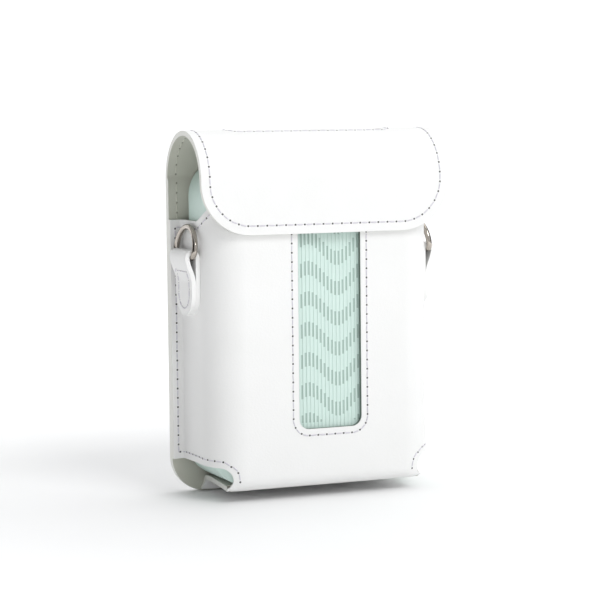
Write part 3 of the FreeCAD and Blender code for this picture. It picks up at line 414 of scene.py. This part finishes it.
def pocket_plan(reach, above=0.0):
    """The wrap seen from above, by its signed run from the middle of the front: flat front,
    quarter circle, straight side, small quarter circle in the crease, flat flange."""
    run = np.abs(reach)
    corner = np.clip((run - FRONT_FLAT) / POCKET_ROUND, 0.0, np.pi / 2)
    crease = np.clip((run - SIDE_RUN) / CREASE_ROUND, 0.0, np.pi / 2)
    side = np.clip(run - CORNER_RUN, 0.0, SIDE_RUN - CORNER_RUN)
    flange = np.maximum(run - CREASE_RUN, 0.0)
    turn = corner - crease
    x = np.minimum(run, FRONT_FLAT) + POCKET_ROUND * np.sin(corner)
    x = x + CREASE_ROUND * (1 - np.cos(crease)) + flange
    y = POCKET_FRONT + POCKET_ROUND * (1 - np.cos(corner)) + side + CREASE_ROUND * np.sin(crease)
    way = np.where(reach < 0.0, -1.0, 1.0)
    return way * (x + above * np.sin(turn)), y - above * np.cos(turn)


def wrap_top(reach):
    """Top edge of the wrap: level wings, then an S-shaped rise to the front's top edge."""
    back = FLANGE_RUN - np.abs(reach)
    rise = np.clip((back - RISE_START) / RISE_LONG, 0.0, 1.0)
    return WING_TOP + (POCKET_TOP - WING_TOP) * rise * rise * (3.0 - 2.0 * rise)


def wrap_low(reach):
    """Lower edge of the wings: nearly level, then a quarter ellipse down to the notch's end."""
    along = np.clip((FLANGE_RUN - np.abs(reach)) / (FLANGE_RUN - NOTCH_RUN), 0.0, 1.0)
    closing = np.clip((NOTCH_RUN + NOTCH_LONG - np.abs(reach)) / NOTCH_LONG, 0.0, 1.0)
    drop = (WING_LOW - HEM - FOLD_ROUND) * (1.0 - np.sqrt(1.0 - closing ** 2))
    return WING_LOW + 0.5 * np.sin(np.pi * along) - drop


def tongue_half(step):
    """Half width of the tongue: a quarter ellipse opens it below the notch's end, then it draws
    in smoothly under the device. Step is 0 to 1 round the fold and 1 to 2 beneath."""
    swell = np.clip(step / LOBE_STEP, 0.0, 1.0)
    draw = np.clip((step - LOBE_STEP) / (1.6 - LOBE_STEP), 0.0, 1.0)
    draw = draw * draw * (3.0 - 2.0 * draw)
    lobe = (TONGUE_LOBE - NOTCH_START) * (1.0 - np.sqrt(1.0 - swell ** 2))
    return NOTCH_START + lobe + (TONGUE_HALF - TONGUE_LOBE) * draw


WINDOW_MIDDLE = 1.4
WINDOW_HALF = 13.15
WINDOW_LOW = 27.3
WINDOW_HIGH = 107.4
WINDOW_ROUND = 4.0
window_turn = np.linspace(0.0, np.pi / 2, 7)
levels = np.concatenate([
    np.linspace(POCKET_TOP, WINDOW_HIGH, 8)[:-1],
    WINDOW_HIGH - WINDOW_ROUND * (1 - np.cos(window_turn)),
    np.linspace(WINDOW_HIGH - WINDOW_ROUND, WINDOW_LOW + WINDOW_ROUND, 24)[1:-1],
    (WINDOW_LOW + WINDOW_ROUND * (1 - np.cos(window_turn)))[::-1],
    np.linspace(WINDOW_LOW, HEM + FOLD_ROUND, 8)[1:],
])
level_share = ((levels - levels[-1]) / (levels[0] - levels[-1]))[:, None]
rounding_low = np.clip(WINDOW_LOW + WINDOW_ROUND - levels, 0.0, WINDOW_ROUND)
rounding_high = np.clip(levels - WINDOW_HIGH + WINDOW_ROUND, 0.0, WINDOW_ROUND)
rounding = np.maximum(rounding_low, rounding_high)[:, None]
window_half = WINDOW_HALF - WINDOW_ROUND + np.sqrt(WINDOW_ROUND ** 2 - rounding ** 2)
outer_columns = np.concatenate([
    np.linspace(FRAME_EDGE, FRONT_FLAT, 7)[1:],
    np.linspace(FRONT_FLAT, NOTCH_RUN, 10)[1:],
    NOTCH_RUN + NOTCH_LONG * (1 - np.cos(np.linspace(0.0, np.pi / 2, 10)))[1:],
    np.linspace(NOTCH_RUN + NOTCH_LONG, CORNER_RUN, 10)[1:],
    np.linspace(CORNER_RUN, SIDE_RUN, 10)[1:],
    np.linspace(SIDE_RUN, CREASE_RUN, 7)[1:],
    np.linspace(CREASE_RUN, FLANGE_RUN, 4)[1:],
])
reach_side = outer_columns[None] + 0.0 * level_share
window_columns = WINDOW_MIDDLE + window_half * np.linspace(-1.0, 1.0, 11)[None]
reach_wrap = np.concatenate([-reach_side[:, ::-1], window_columns, reach_side], axis=1)
wrap_x, wrap_y = pocket_plan(reach_wrap)
top_edge = wrap_top(reach_wrap)
low_edge = np.where(np.abs(reach_wrap) < NOTCH_RUN, HEM + FOLD_ROUND, wrap_low(reach_wrap))
wrap_z = low_edge + (top_edge - low_edge) * level_share
wrap_grid = np.stack([wrap_x, wrap_y, wrap_z], axis=-1)

fold_steps = LOBE_STEP * np.sin(np.linspace(0.0, np.pi / 2, 12))[1:]
fold_steps = np.concatenate([fold_steps, np.linspace(LOBE_STEP, 1.0, 8)[1:]])
under_steps = np.linspace(0.0, 1.0, 12)[1:]
folds = len(fold_steps)
drop_steps = np.linspace(0.0, 1.0, 6)[1:]
end_steps = np.linspace(0.0, 1.0, 4)[1:]
tongue_steps = np.concatenate([fold_steps, 1.0 + under_steps, np.full(5 + 3, 2.0)])
tongue_shape = tongue_half(tongue_steps)[:, None]
tongue_shape[-3:] = tongue_shape[-3:] + TONGUE_FLARE * np.array([[0.35], [0.75], [1.0]])
front_row = wrap_x[-1][None]
inside = np.abs(reach_wrap[-1]) <= NOTCH_RUN + 1e-6
side_share = np.clip((np.abs(front_row) - FRAME_EDGE) / (NOTCH_START - FRAME_EDGE), 0.0, 1.0)
narrowed = front_row * (1.0 + (tongue_shape / NOTCH_START - 1.0) * side_share)
front_edge = wrap_y[-1][None] + 0.0 * narrowed
fold_turn = fold_steps[:, None] * np.pi / 2
fold_y = front_edge[:folds] + FOLD_ROUND * (1 - np.cos(fold_turn))
fold_z = HEM + FOLD_ROUND * (1 - np.sin(fold_turn)) + 0.0 * narrowed[:folds]
under_end = FLANGE_FACE - CREASE_ROUND
under_y = fold_y[-1] + (under_end - fold_y[-1]) * under_steps[:, None]
under_z = HEM + 0.0 * under_y
drop_turn = drop_steps[:, None] * np.pi / 2
drop_y = under_end + CREASE_ROUND * np.sin(drop_turn) + 0.0 * narrowed[:5]
drop_z = HEM - CREASE_ROUND * (1 - np.cos(drop_turn)) + 0.0 * narrowed[:5]
end_y = FLANGE_FACE + 0.0 * narrowed[:3]
end_z = HEM - CREASE_ROUND + (0.6 - HEM + CREASE_ROUND) * end_steps[:, None] + 0.0 * narrowed[:3]
lifted_edge = np.clip((np.abs(narrowed) - 34.0) / 4.5, 0.0, 1.0) ** 2
hump = 0.4 * np.exp(-((tongue_steps[:, None] - 1.85) / 0.22) ** 2) * lifted_edge
tongue_grid = np.stack([narrowed, np.concatenate([fold_y, under_y, drop_y, end_y]),
                        np.concatenate([fold_z, under_z, drop_z, end_z]) + hump], axis=-1)
pocket_grid = np.concatenate([wrap_grid, tongue_grid])
rows, columns = pocket_grid.shape[:2]
not_made = np.zeros((rows - 1, columns - 1), bool)
wrap_rows = len(levels)
not_made[wrap_rows - 1:] = ~(inside[:-1] & inside[1:])[None]
window_rows = (levels[:-1] <= WINDOW_HIGH + 1e-6) & (levels[1:] >= WINDOW_LOW - 1e-6)
window_first = reach_side.shape[1]
not_made[:wrap_rows - 1, window_first:window_first + 10] |= window_rows[:, None]
flat_run = np.concatenate([levels, HEM + FOLD_ROUND - np.cumsum(np.full(len(tongue_grid), 2.0))])
pocket_flat = np.stack(np.broadcast_arrays(reach_wrap[-1][None], flat_run[:, None]), axis=-1) + 200.0
pocket = surface("pocket", pocket_grid, left_out=not_made, flat=pocket_flat)


def tinted_box(finish, low, high, tint):
    """Tints what lies inside an upright box, given by two corners in Object coordinates."""
    tree = finish.node_tree
    shader = tree.nodes["Principled BSDF"]
    plain = shader.inputs["Base Color"].links[0].from_socket
    where = tree.nodes.new("ShaderNodeTexCoord")
    parts = tree.nodes.new("ShaderNodeSeparateXYZ")
    wire(tree, (where.outputs["Object"], parts.inputs["Vector"]))
    inside = None
    for axis in range(3):
        test = tree.nodes.new("ShaderNodeMath")
        test.operation = "COMPARE"
        test.inputs[1].default_value = (low[axis] + high[axis]) / 2
        test.inputs[2].default_value = (high[axis] - low[axis]) / 2
        tree.links.new(parts.outputs[axis], test.inputs[0])
        if inside is None:
            inside = test.outputs[0]
            continue
        both = tree.nodes.new("ShaderNodeMath")
        both.operation = "MULTIPLY"
        wire(tree, (inside, both.inputs[0]), (test.outputs[0], both.inputs[1]))
        inside = both.outputs[0]
    tinted = tree.nodes.new("ShaderNodeMix")
    tinted.data_type = "RGBA"
    tinted.inputs["B"].default_value = (*tint, 1.0)
    wire(tree, (inside, tinted.inputs["Factor"]), (plain, tinted.inputs["A"]),
         (tinted.outputs["Result"], shader.inputs["Base Color"]))


POCKET_EDGE_AND_WINDOW_SHADE = grained("pocket_edge_and_painted_window_shade", (0.80, 0.80, 0.76), (0.73, 0.73, 0.69), 0.5, 900.0, 0.04)
# The window's cut edge is tinted dark green-grey: painted shadow of the gap between the leather and the
# device's face.
tinted_box(POCKET_EDGE_AND_WINDOW_SHADE, (-0.0125, -0.01805, 0.0268), (0.0155, -0.0160, 0.1080), (0.13, 0.17, 0.15))
pocket.data.materials.append(LEATHER)
pocket.data.materials.append(LINING)
pocket.data.materials.append(POCKET_EDGE_AND_WINDOW_SHADE)
thickened(pocket, POCKET_THICK, rim=0.3)
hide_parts("pocket_leather", "pocket_lining")
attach(pocket, "case")


def pocket_seam(name, reach, level, pitch=3.7):
    """A seam on the pocket's outer face, along a line drawn on the flat blank. Below the fold's
    start it follows the fold's quarter circle."""
    fold = np.arcsin(np.clip((HEM + FOLD_ROUND - level) / FOLD_ROUND, 0.0, 1.0))
    x, y = pocket_plan(reach)
    x_out, y_out = pocket_plan(reach, 1.0)
    path = np.stack([x, y + FOLD_ROUND * (1 - np.cos(fold)), level], axis=-1)
    lean = np.cos(fold)
    normals = np.stack([(x_out - x) * lean, (y_out - y) * lean, -np.sin(fold)], axis=-1)
    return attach(stitches(name, path, normals, pitch), "case")


window_seam_out = 2.5
corner_seam = WINDOW_ROUND + window_seam_out
u_turn = np.linspace(0.0, np.pi / 2, 20)
down = np.linspace(POCKET_TOP - 2.0, WINDOW_LOW + WINDOW_ROUND, 80)
right_edge = WINDOW_HALF + window_seam_out
u_across = np.concatenate([np.full(80, right_edge),
                           WINDOW_HALF - WINDOW_ROUND + corner_seam * np.cos(u_turn)])
u_level = np.concatenate([down, WINDOW_LOW + WINDOW_ROUND - corner_seam * np.sin(u_turn)])
pocket_seam("window_seam", WINDOW_MIDDLE + np.concatenate([u_across, -u_across[::-1]]),
            np.concatenate([u_level, u_level[::-1]]), 3.6)

flange_reach = FLANGE_RUN - 2.0
brow_reach = np.linspace(30.0, flange_reach, 160)
foot_reach = np.linspace(flange_reach, NOTCH_RUN + 1.0, 140)
end_round = np.linspace(0.0, np.pi / 2, 30)
border_reach = np.concatenate([brow_reach, np.full(100, flange_reach), foot_reach,
                               NOTCH_RUN + 1.0 - 3.6 * np.sin(end_round)])
border_level = np.concatenate([wrap_top(brow_reach) - 3.0, np.linspace(WING_TOP - 3.0, 16.4, 100),
                               wrap_low(foot_reach) + 2.6,
                               wrap_low(NOTCH_RUN + 1.0) + 2.6 - 6.0 * (1 - np.cos(end_round))])
pocket_seam("left_border_seam", -border_reach, border_level)
pocket_seam("right_border_seam", border_reach, border_level)


# ---------------------------------------------------------------- strap tabs
# A strip of the leather on each side, folded over the ring's bar and sewn to the pocket's side
# through both layers. Both ends are cut round.
BAR_X = 50.07
BAR_Z = 94.5
TAB_MIDDLE = 3.6
TAB_HALF = 9.25
TAB_LOW = 71.7
TAB_THICK = 1.64
LOOP_ROUND = 2.92
SETTLE = 10.0
TAB_CLOSE = 2.0 * LOOP_ROUND - 2.0 * TAB_THICK - 0.06


def tab_line(step):
    """The strip's outer face from its hidden end: up the pocket, half a circle over the bar, and
    down while it settles back by a smooth step onto the first layer. Step runs from 0 to 3."""
    up = np.clip(step, 0.0, 1.0)
    over = np.clip(step - 1.0, 0.0, 1.0) * np.pi
    down = np.clip(step - 2.0, 0.0, 1.0)
    drop = down * (BAR_Z - TAB_LOW)
    settle = np.clip(drop / SETTLE, 0.0, 1.0)
    settle = settle * settle * (3.0 - 2.0 * settle)
    x = BAR_X - LOOP_ROUND * np.cos(over) - TAB_CLOSE * settle
    z = TAB_LOW + up * (BAR_Z - TAB_LOW) + LOOP_ROUND * np.sin(over) - drop
    return x, z


# The tabs' edge paint is a paler white than the hide's: real edge paint, lightened further as painted
# light where the edges face the lamp.
TAB_EDGE_PAINT_AND_LIGHT = grained("tab_edge_paint_and_painted_light", (0.93, 0.93, 0.92), (0.90, 0.90, 0.89), 0.38, 900.0, 0.03)
end_turn = np.linspace(0.0, np.pi / 2, 12)
end_share = (1.0 - np.cos(end_turn)) * TAB_HALF / (BAR_Z - TAB_LOW)
tab_steps = np.unique(np.round(np.concatenate([
    end_share, np.linspace(end_share[-1], 1.0, 8), np.linspace(1.0, 2.0, 20),
    np.linspace(2.0, 3.0 - end_share[-1], 14), 3.0 - end_share]), 5))
tab_x, tab_z = tab_line(tab_steps)
past_end = np.clip(TAB_LOW + TAB_HALF - tab_z, 0.0, TAB_HALF)
tab_reach = np.sqrt(np.maximum(TAB_HALF ** 2 - past_end ** 2, 0.02))[:, None]
tab_back = TAB_MIDDLE + tab_reach * np.linspace(1.0, -1.0, 15)[None]
tab_flat = np.stack(np.broadcast_arrays(tab_back + 400.0, tab_steps[:, None] * 23.0), axis=-1)
for side, way in (("left", -1.0), ("right", 1.0)):
    strip = np.stack(np.broadcast_arrays(way * tab_x[:, None], tab_back, tab_z[:, None]), axis=-1)
    if way > 0.0:
        strip = strip[:, ::-1]
    tab = surface("strap_tab_" + side, strip, flat=tab_flat)
    tab.data.materials.append(LEATHER)
    tab.data.materials.append(LEATHER)
    tab.data.materials.append(TAB_EDGE_PAINT_AND_LIGHT)
    thickened(tab, TAB_THICK, rim=0.3)
    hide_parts("tab_" + side)
    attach(tab, "case")
    round_turn = np.linspace(np.pi, 0.0, 40)
    box_round = 6.0
    box_low = TAB_LOW + 2.9 + box_round
    box_back = np.concatenate([np.full(20, -6.0), box_round * np.cos(round_turn), np.full(20, 6.0),
                               np.linspace(6.0, -6.0, 20)])
    box_up = np.concatenate([np.linspace(89.0, box_low, 20), box_low - box_round * np.sin(round_turn),
                             np.linspace(box_low, 89.0, 20), np.full(20, 89.0)])
    settled = np.clip((BAR_Z - box_up) / SETTLE, 0.0, 1.0)
    settled = settled * settled * (3.0 - 2.0 * settled)
    face = BAR_X + LOOP_ROUND - TAB_CLOSE * settled
    box_path = np.stack([way * face, TAB_MIDDLE + box_back, box_up], axis=-1)
    box_normals = np.tile([way, 0.0, 0.0], (len(box_path), 1))
    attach(stitches("tab_seam_" + side, box_path, box_normals, 3.4, True, 0.5), "case")


# ---------------------------------------------------------------- D-rings
# Nickel-plated steel wire bent to a D, with its straight bar in the fold of the tab. It leans
# towards the case, and turns about its bar.
WIRE_ROUND = 1.1
RING_HALF = 10.6
KNEE_ROUND = 2.6
RING_TALL = 11.6
RING_LEAN = np.radians(7.5)
NICKEL = grained("nickel_plate", (0.66, 0.61, 0.55), (0.28, 0.25, 0.22), 0.12, 900.0, 0.01,
                 Metallic=1.0)


def ring_line(step):
    """The middle of the wire: straight bar, quarter circles at both knees, half an ellipse as the
    bow. Step runs from 0 to 4, and starts at the bar's middle."""
    flat = RING_HALF - KNEE_ROUND
    knee = np.clip(step - 0.5, 0.0, 1.0) * np.pi / 2
    other = np.clip(step - 2.5, 0.0, 1.0) * np.pi / 2
    bow = np.clip(step - 1.5, 0.0, 1.0) * np.pi
    y = np.where(step < 0.5, 2.0 * step * flat, flat + KNEE_ROUND * np.sin(knee))
    y = np.where(step > 1.5, RING_HALF * np.cos(bow), y)
    y = np.where(step > 2.5, -flat - KNEE_ROUND * np.cos(other), y)
    y = np.where(step > 3.5, -2.0 * (4.0 - step) * flat, y)
    z = KNEE_ROUND * (1.0 - np.cos(knee)) + (RING_TALL - KNEE_ROUND) * np.sin(bow)
    return y, z - KNEE_ROUND * np.sin(other)


for side, way in (("left", -1.0), ("right", 1.0)):
    ring_steps = np.concatenate([np.linspace(0.0, 0.5, 6)[:-1], np.linspace(0.5, 1.5, 13)[:-1],
                                 np.linspace(1.5, 2.5, 49)[:-1], np.linspace(2.5, 3.5, 13)[:-1],
                                 np.linspace(3.5, 4.0, 6)[:-1]])
    ring_y, ring_z = ring_line(ring_steps)
    ahead_y = np.roll(ring_y, -1) - np.roll(ring_y, 1)
    ahead_z = np.roll(ring_z, -1) - np.roll(ring_z, 1)
    length = np.hypot(ahead_y, ahead_z)
    around = np.linspace(0.0, 2.0 * np.pi, 16, endpoint=False)[None]
    out_y = (ahead_z / length)[:, None] * np.cos(around) * WIRE_ROUND
    out_z = (-ahead_y / length)[:, None] * np.cos(around) * WIRE_ROUND
    out_x = WIRE_ROUND * np.sin(around) + 0.0 * out_y
    local_z = ring_z[:, None] + out_z
    x = way * BAR_X + way * out_x * np.cos(RING_LEAN) - way * local_z * np.sin(RING_LEAN)
    z = BAR_Z + local_z * np.cos(RING_LEAN) + out_x * np.sin(RING_LEAN)
    tube = np.stack([x, TAB_MIDDLE + ring_y[:, None] + out_y, z], axis=-1)
    if way < 0.0:
        tube = tube[:, ::-1]
    ring = surface("wire_ring_" + side, tube, around=True, looped=True)
    ring.data.materials.append(NICKEL)
    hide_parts("d_ring_" + side)
    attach(ring, "ring_" + side)


# ---------------------------------------------------------------- printer housing
# Two injection-moulded shells in mint-green plastic. The face has fine upright ribs, and a plain
# wave of darker dashes runs down the grooves between them.
MINT = grained("mint_plastic", (0.67, 0.81, 0.76), (0.62, 0.77, 0.715), 0.38, 2200.0, 0.015)
RIBBED = grained("mint_ribbed_plastic", (0.67, 0.81, 0.76), (0.62, 0.77, 0.715), 0.4, 2200.0, 0.015)


def dash_wave(finish, first, pitch):
    """Darkens the grooves in dashes: a groove's number sets the phase of a slow sine down its
    length, and the dash shows where the sine is high. It works on Object coordinates in metres."""
    tree = finish.node_tree
    shader = tree.nodes["Principled BSDF"]
    plain = shader.inputs["Base Color"].links[0].from_socket
    where = tree.nodes.new("ShaderNodeTexCoord")
    parts = tree.nodes.new("ShaderNodeSeparateXYZ")
    wire(tree, (where.outputs["Object"], parts.inputs["Vector"]))

    def worked(operation, first_value, second=0.0, third=0.0):
        step = tree.nodes.new("ShaderNodeMath")
        step.operation = operation
        for number, value in enumerate((first_value, second, third)):
            if hasattr(value, "links"):
                tree.links.new(value, step.inputs[number])
            elif number < len(step.inputs):
                step.inputs[number].default_value = value
        return step.outputs[0]

    wave_turn = 0.40
    wave_tall = 0.0042
    dash_pitch = 0.0118
    count = worked("DIVIDE", worked("SUBTRACT", parts.outputs["X"], first), pitch)
    groove = worked("FLOOR", count)
    within = worked("LESS_THAN", worked("FRACT", count), 0.5)
    slow = worked("SINE", worked("MULTIPLY", groove, wave_turn))
    bend = worked("MULTIPLY", slow, wave_tall)
    spot = worked("ADD", parts.outputs["Z"], bend)
    beat = worked("SINE", worked("MULTIPLY", spot, 2.0 * np.pi / dash_pitch))
    dash = worked("GREATER_THAN", beat, 0.12)
    ahead = worked("LESS_THAN", parts.outputs["Y"], -0.0150)
    ribbed = worked("COMPARE", parts.outputs["Z"], 0.0695, 0.0400)
    mask = worked("MULTIPLY", worked("MULTIPLY", within, dash), worked("MULTIPLY", ahead, ribbed))
    tinted = tree.nodes.new("ShaderNodeMix")
    tinted.data_type = "RGBA"
    tinted.inputs["B"].default_value = (0.40, 0.53, 0.48, 1.0)
    wire(tree, (mask, tinted.inputs["Factor"]), (plain, tinted.inputs["A"]),
         (tinted.outputs["Result"], shader.inputs["Base Color"]))


RIB_PITCH = 0.00158
RIB_FIRST = 0.0014 - 17.0 * RIB_PITCH - RIB_PITCH / 4
dash_wave(RIBBED, RIB_FIRST, RIB_PITCH)


def finished(finish, *names):
    """Gives CAD nodes a finish, in every one of their material slots."""
    for name in names:
        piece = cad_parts[name]
        if not piece.material_slots:
            piece.data.materials.append(finish)
        for slot in piece.material_slots:
            slot.material = finish


finished(RIBBED, "front_housing")
finished(MINT, "rear_housing", "film_door", "door_latch")


# ---------------------------------------------------------------- buttons, light and socket
# Glossy white moulded buttons, a clear light pipe and a plated charging socket.
finished(grained("white_button", (0.86, 0.87, 0.86), (0.80, 0.81, 0.80), 0.25, 2600.0, 0.008,
                 Coat_Weight=0.4), "power_button", "function_button")
finished(grained("light_guide", (0.86, 0.90, 0.92), (0.80, 0.85, 0.88), 0.15, 1200.0, 0.005,
                 Transmission_Weight=0.7, IOR=1.49), "light_pipe")
SHEET_STEEL = grained("sheet_steel", (0.60, 0.61, 0.62), (0.48, 0.49, 0.50), 0.34, 700.0, 0.015,
                      Metallic=1.0)
finished(SHEET_STEEL, "charging_socket", "chassis", "motor", "door_springs", "door_pins")
finished(grained("blackened_steel", (0.10, 0.10, 0.11), (0.06, 0.06, 0.065), 0.4, 1400.0, 0.01,
                 Metallic=1.0), "housing_screws")


# ---------------------------------------------------------------- film, cartridge and rollers
# A black moulded cartridge with its stack of sheets. The sheet in the nip has a white border
# round its picture area. Turned steel shafts carry rubber sleeves and moulded gears.
FILM = grained("film_paper", (0.90, 0.90, 0.88), (0.86, 0.86, 0.84), 0.3, 900.0, 0.006,
               Coat_Weight=0.5)
tinted_box(FILM, (-0.0235, -0.02, 0.0400), (0.0235, 0.02, 0.1020), (0.34, 0.40, 0.44))
finished(FILM, "film_sheet", "film_stack")
finished(grained("cartridge_black", (0.05, 0.05, 0.055), (0.03, 0.03, 0.035), 0.5, 1800.0, 0.02),
         "film_cartridge", "print_head", "board_chips")
finished(SHEET_STEEL, "front_roller_shaft", "rear_roller_shaft")
finished(grained("roller_rubber", (0.09, 0.09, 0.09), (0.06, 0.06, 0.06), 0.8, 3000.0, 0.03),
         "front_roller_rubber", "rear_roller_rubber")
finished(grained("gear_nylon", (0.80, 0.80, 0.76), (0.73, 0.73, 0.69), 0.45, 1900.0, 0.01),
         "front_roller_gear", "rear_roller_gear", "reduction_gear", "motor_pinion")
finished(grained("board_green", (0.05, 0.22, 0.12), (0.03, 0.16, 0.09), 0.4, 1600.0, 0.01),
         "main_board")
finished(grained("battery_foil", (0.55, 0.56, 0.57), (0.46, 0.47, 0.48), 0.35, 420.0, 0.05,
                 Metallic=0.8), "battery")
finished(grained("magnet_plate", (0.60, 0.60, 0.61), (0.50, 0.50, 0.51), 0.3, 900.0, 0.01,
                 Metallic=1.0), "pocket_magnet", "flap_magnet")


# ---------------------------------------------------------------- floor, light and camera
# A pale sweep of paper, a broad soft light from the front right, and a long lens. The room is
# darker to the left, and its two sides are dark only to reflections, for the metal.
floor_run = np.linspace(0.0, 1.0, 60)[:, None]
floor_turn = np.clip((floor_run - 0.6) / 0.4, 0.0, 1.0) * np.pi / 2
floor_y = -2500.0 + np.minimum(floor_run / 0.6, 1.0) * 4000.0 + 700.0 * np.sin(floor_turn)
floor_z = -0.05 + 700.0 * (1.0 - np.cos(floor_turn)) + np.maximum(floor_run - 0.99, 0.0) * 90000.0
floor_x = np.linspace(2500.0, -2500.0, 30)[None]
sweep = surface("paper_sweep", np.stack(np.broadcast_arrays(floor_x, floor_y, floor_z), axis=-1))
# The paper glows, as painted light: none within 0.1 m of the middle, rising smoothly to full beyond 0.4
# m, so the backdrop turns white and the floor near the object keeps its shadows.
GLOWING_PAPER = grained("white_paper_with_painted_glow", (0.93, 0.93, 0.93), (0.92, 0.92, 0.92), 0.7, 900.0, 0.0,
                Emission_Strength=0.34)
paper = GLOWING_PAPER.node_tree
paper_place = paper.nodes.new("ShaderNodeTexCoord")
from_middle = paper.nodes.new("ShaderNodeVectorMath")
from_middle.operation = "LENGTH"
glow = paper.nodes.new("ShaderNodeMapRange")
glow.interpolation_type = "SMOOTHSTEP"
glow.inputs["From Min"].default_value = 0.10
glow.inputs["From Max"].default_value = 0.40
wire(paper,
     (paper_place.outputs["Object"], from_middle.inputs[0]),
     (from_middle.outputs["Value"], glow.inputs["Value"]),
     (glow.outputs["Result"], paper.nodes["Principled BSDF"].inputs["Emission Color"]))
sweep.data.materials.append(GLOWING_PAPER)

sky = bpy.data.worlds.new("soft_room")
bpy.context.scene.world = sky
sky.use_nodes = True
sky.node_tree.nodes["Background"].inputs["Color"].default_value = (0.98, 0.99, 1.0, 1.0)
sky_way = sky.node_tree.nodes.new("ShaderNodeTexCoord")
sky_parts = sky.node_tree.nodes.new("ShaderNodeSeparateXYZ")
sky_side = sky.node_tree.nodes.new("ShaderNodeMapRange")
sky_side.inputs["From Min"].default_value = -0.9
sky_side.inputs["From Max"].default_value = 0.6
sky_side.inputs["To Min"].default_value = 0.35
sky_side.inputs["To Max"].default_value = 0.92
room_side = sky.node_tree.nodes.new("ShaderNodeMath")
room_side.operation = "ABSOLUTE"
room_dark = sky.node_tree.nodes.new("ShaderNodeMapRange")
room_dark.inputs["From Min"].default_value = 0.66
room_dark.inputs["From Max"].default_value = 0.80
room_dark.inputs["To Min"].default_value = 1.0
room_dark.inputs["To Max"].default_value = 0.08
mirrored = sky.node_tree.nodes.new("ShaderNodeMix")
mirrored.inputs["A"].default_value = 1.0
sky_dimmed = sky.node_tree.nodes.new("ShaderNodeMath")
sky_dimmed.operation = "MULTIPLY"
seen_directly = sky.node_tree.nodes.new("ShaderNodeLightPath")
sky_white = sky.node_tree.nodes.new("ShaderNodeMath")
sky_white.operation = "MAXIMUM"
wire(sky.node_tree,
     (sky_way.outputs["Generated"], sky_parts.inputs["Vector"]),
     (sky_parts.outputs["X"], sky_side.inputs["Value"]),
     (sky_parts.outputs["X"], room_side.inputs[0]),
     (room_side.outputs["Value"], room_dark.inputs["Value"]),
     (seen_directly.outputs["Is Glossy Ray"], mirrored.inputs["Factor"]),
     (room_dark.outputs["Result"], mirrored.inputs["B"]),
     (sky_side.outputs["Result"], sky_dimmed.inputs[0]),
     (mirrored.outputs["Result"], sky_dimmed.inputs[1]),
     (sky_dimmed.outputs["Value"], sky_white.inputs[0]),
     (seen_directly.outputs["Is Camera Ray"], sky_white.inputs[1]),
     (sky_white.outputs["Value"], sky.node_tree.nodes["Background"].inputs["Strength"]))


def soft_light(name, power, wide, at, towards):
    """A square area light at a place, turned to a target, in metres."""
    lamp = bpy.data.lights.new(name, "AREA")
    lamp.energy = power
    lamp.size = wide
    light = bpy.data.objects.new(name, lamp)
    bpy.context.scene.collection.objects.link(light)
    aim = (Vector(towards) - Vector(at)).to_track_quat("-Z", "Y").to_matrix().to_4x4()
    light.matrix_world = Matrix.Translation(Vector(at)) @ aim
    return light


soft_light("key_light", 7.1, 0.6, (0.28, -1.0, 1.05), (0.0, 0.0, 0.07))
soft_light("top_light", 2.4, 0.8, (0.25, 0.1, 1.1), (0.0, 0.0, 0.07))

aim_point = Vector((-0.00352, -0.00011, 0.0759))
turn = np.radians(22.487)
raised = np.radians(5.1086)
back = Vector((-np.sin(turn) * np.cos(raised), -np.cos(turn) * np.cos(raised), np.sin(raised)))
camera = bpy.data.objects.new("camera", bpy.data.cameras.new("camera"))
bpy.context.scene.collection.objects.link(camera)
camera.data.lens = 126.3
camera.data.sensor_width = 36.0
camera.data.clip_start = 0.01
camera.data.clip_end = 20.0
level = (-back).to_track_quat("-Z", "Y").to_matrix().to_4x4()
roll = Matrix.Rotation(np.radians(-0.6118), 4, "Z")
camera.matrix_world = Matrix.Translation(aim_point + back * 0.8294) @ level @ roll
bpy.context.scene.camera = camera
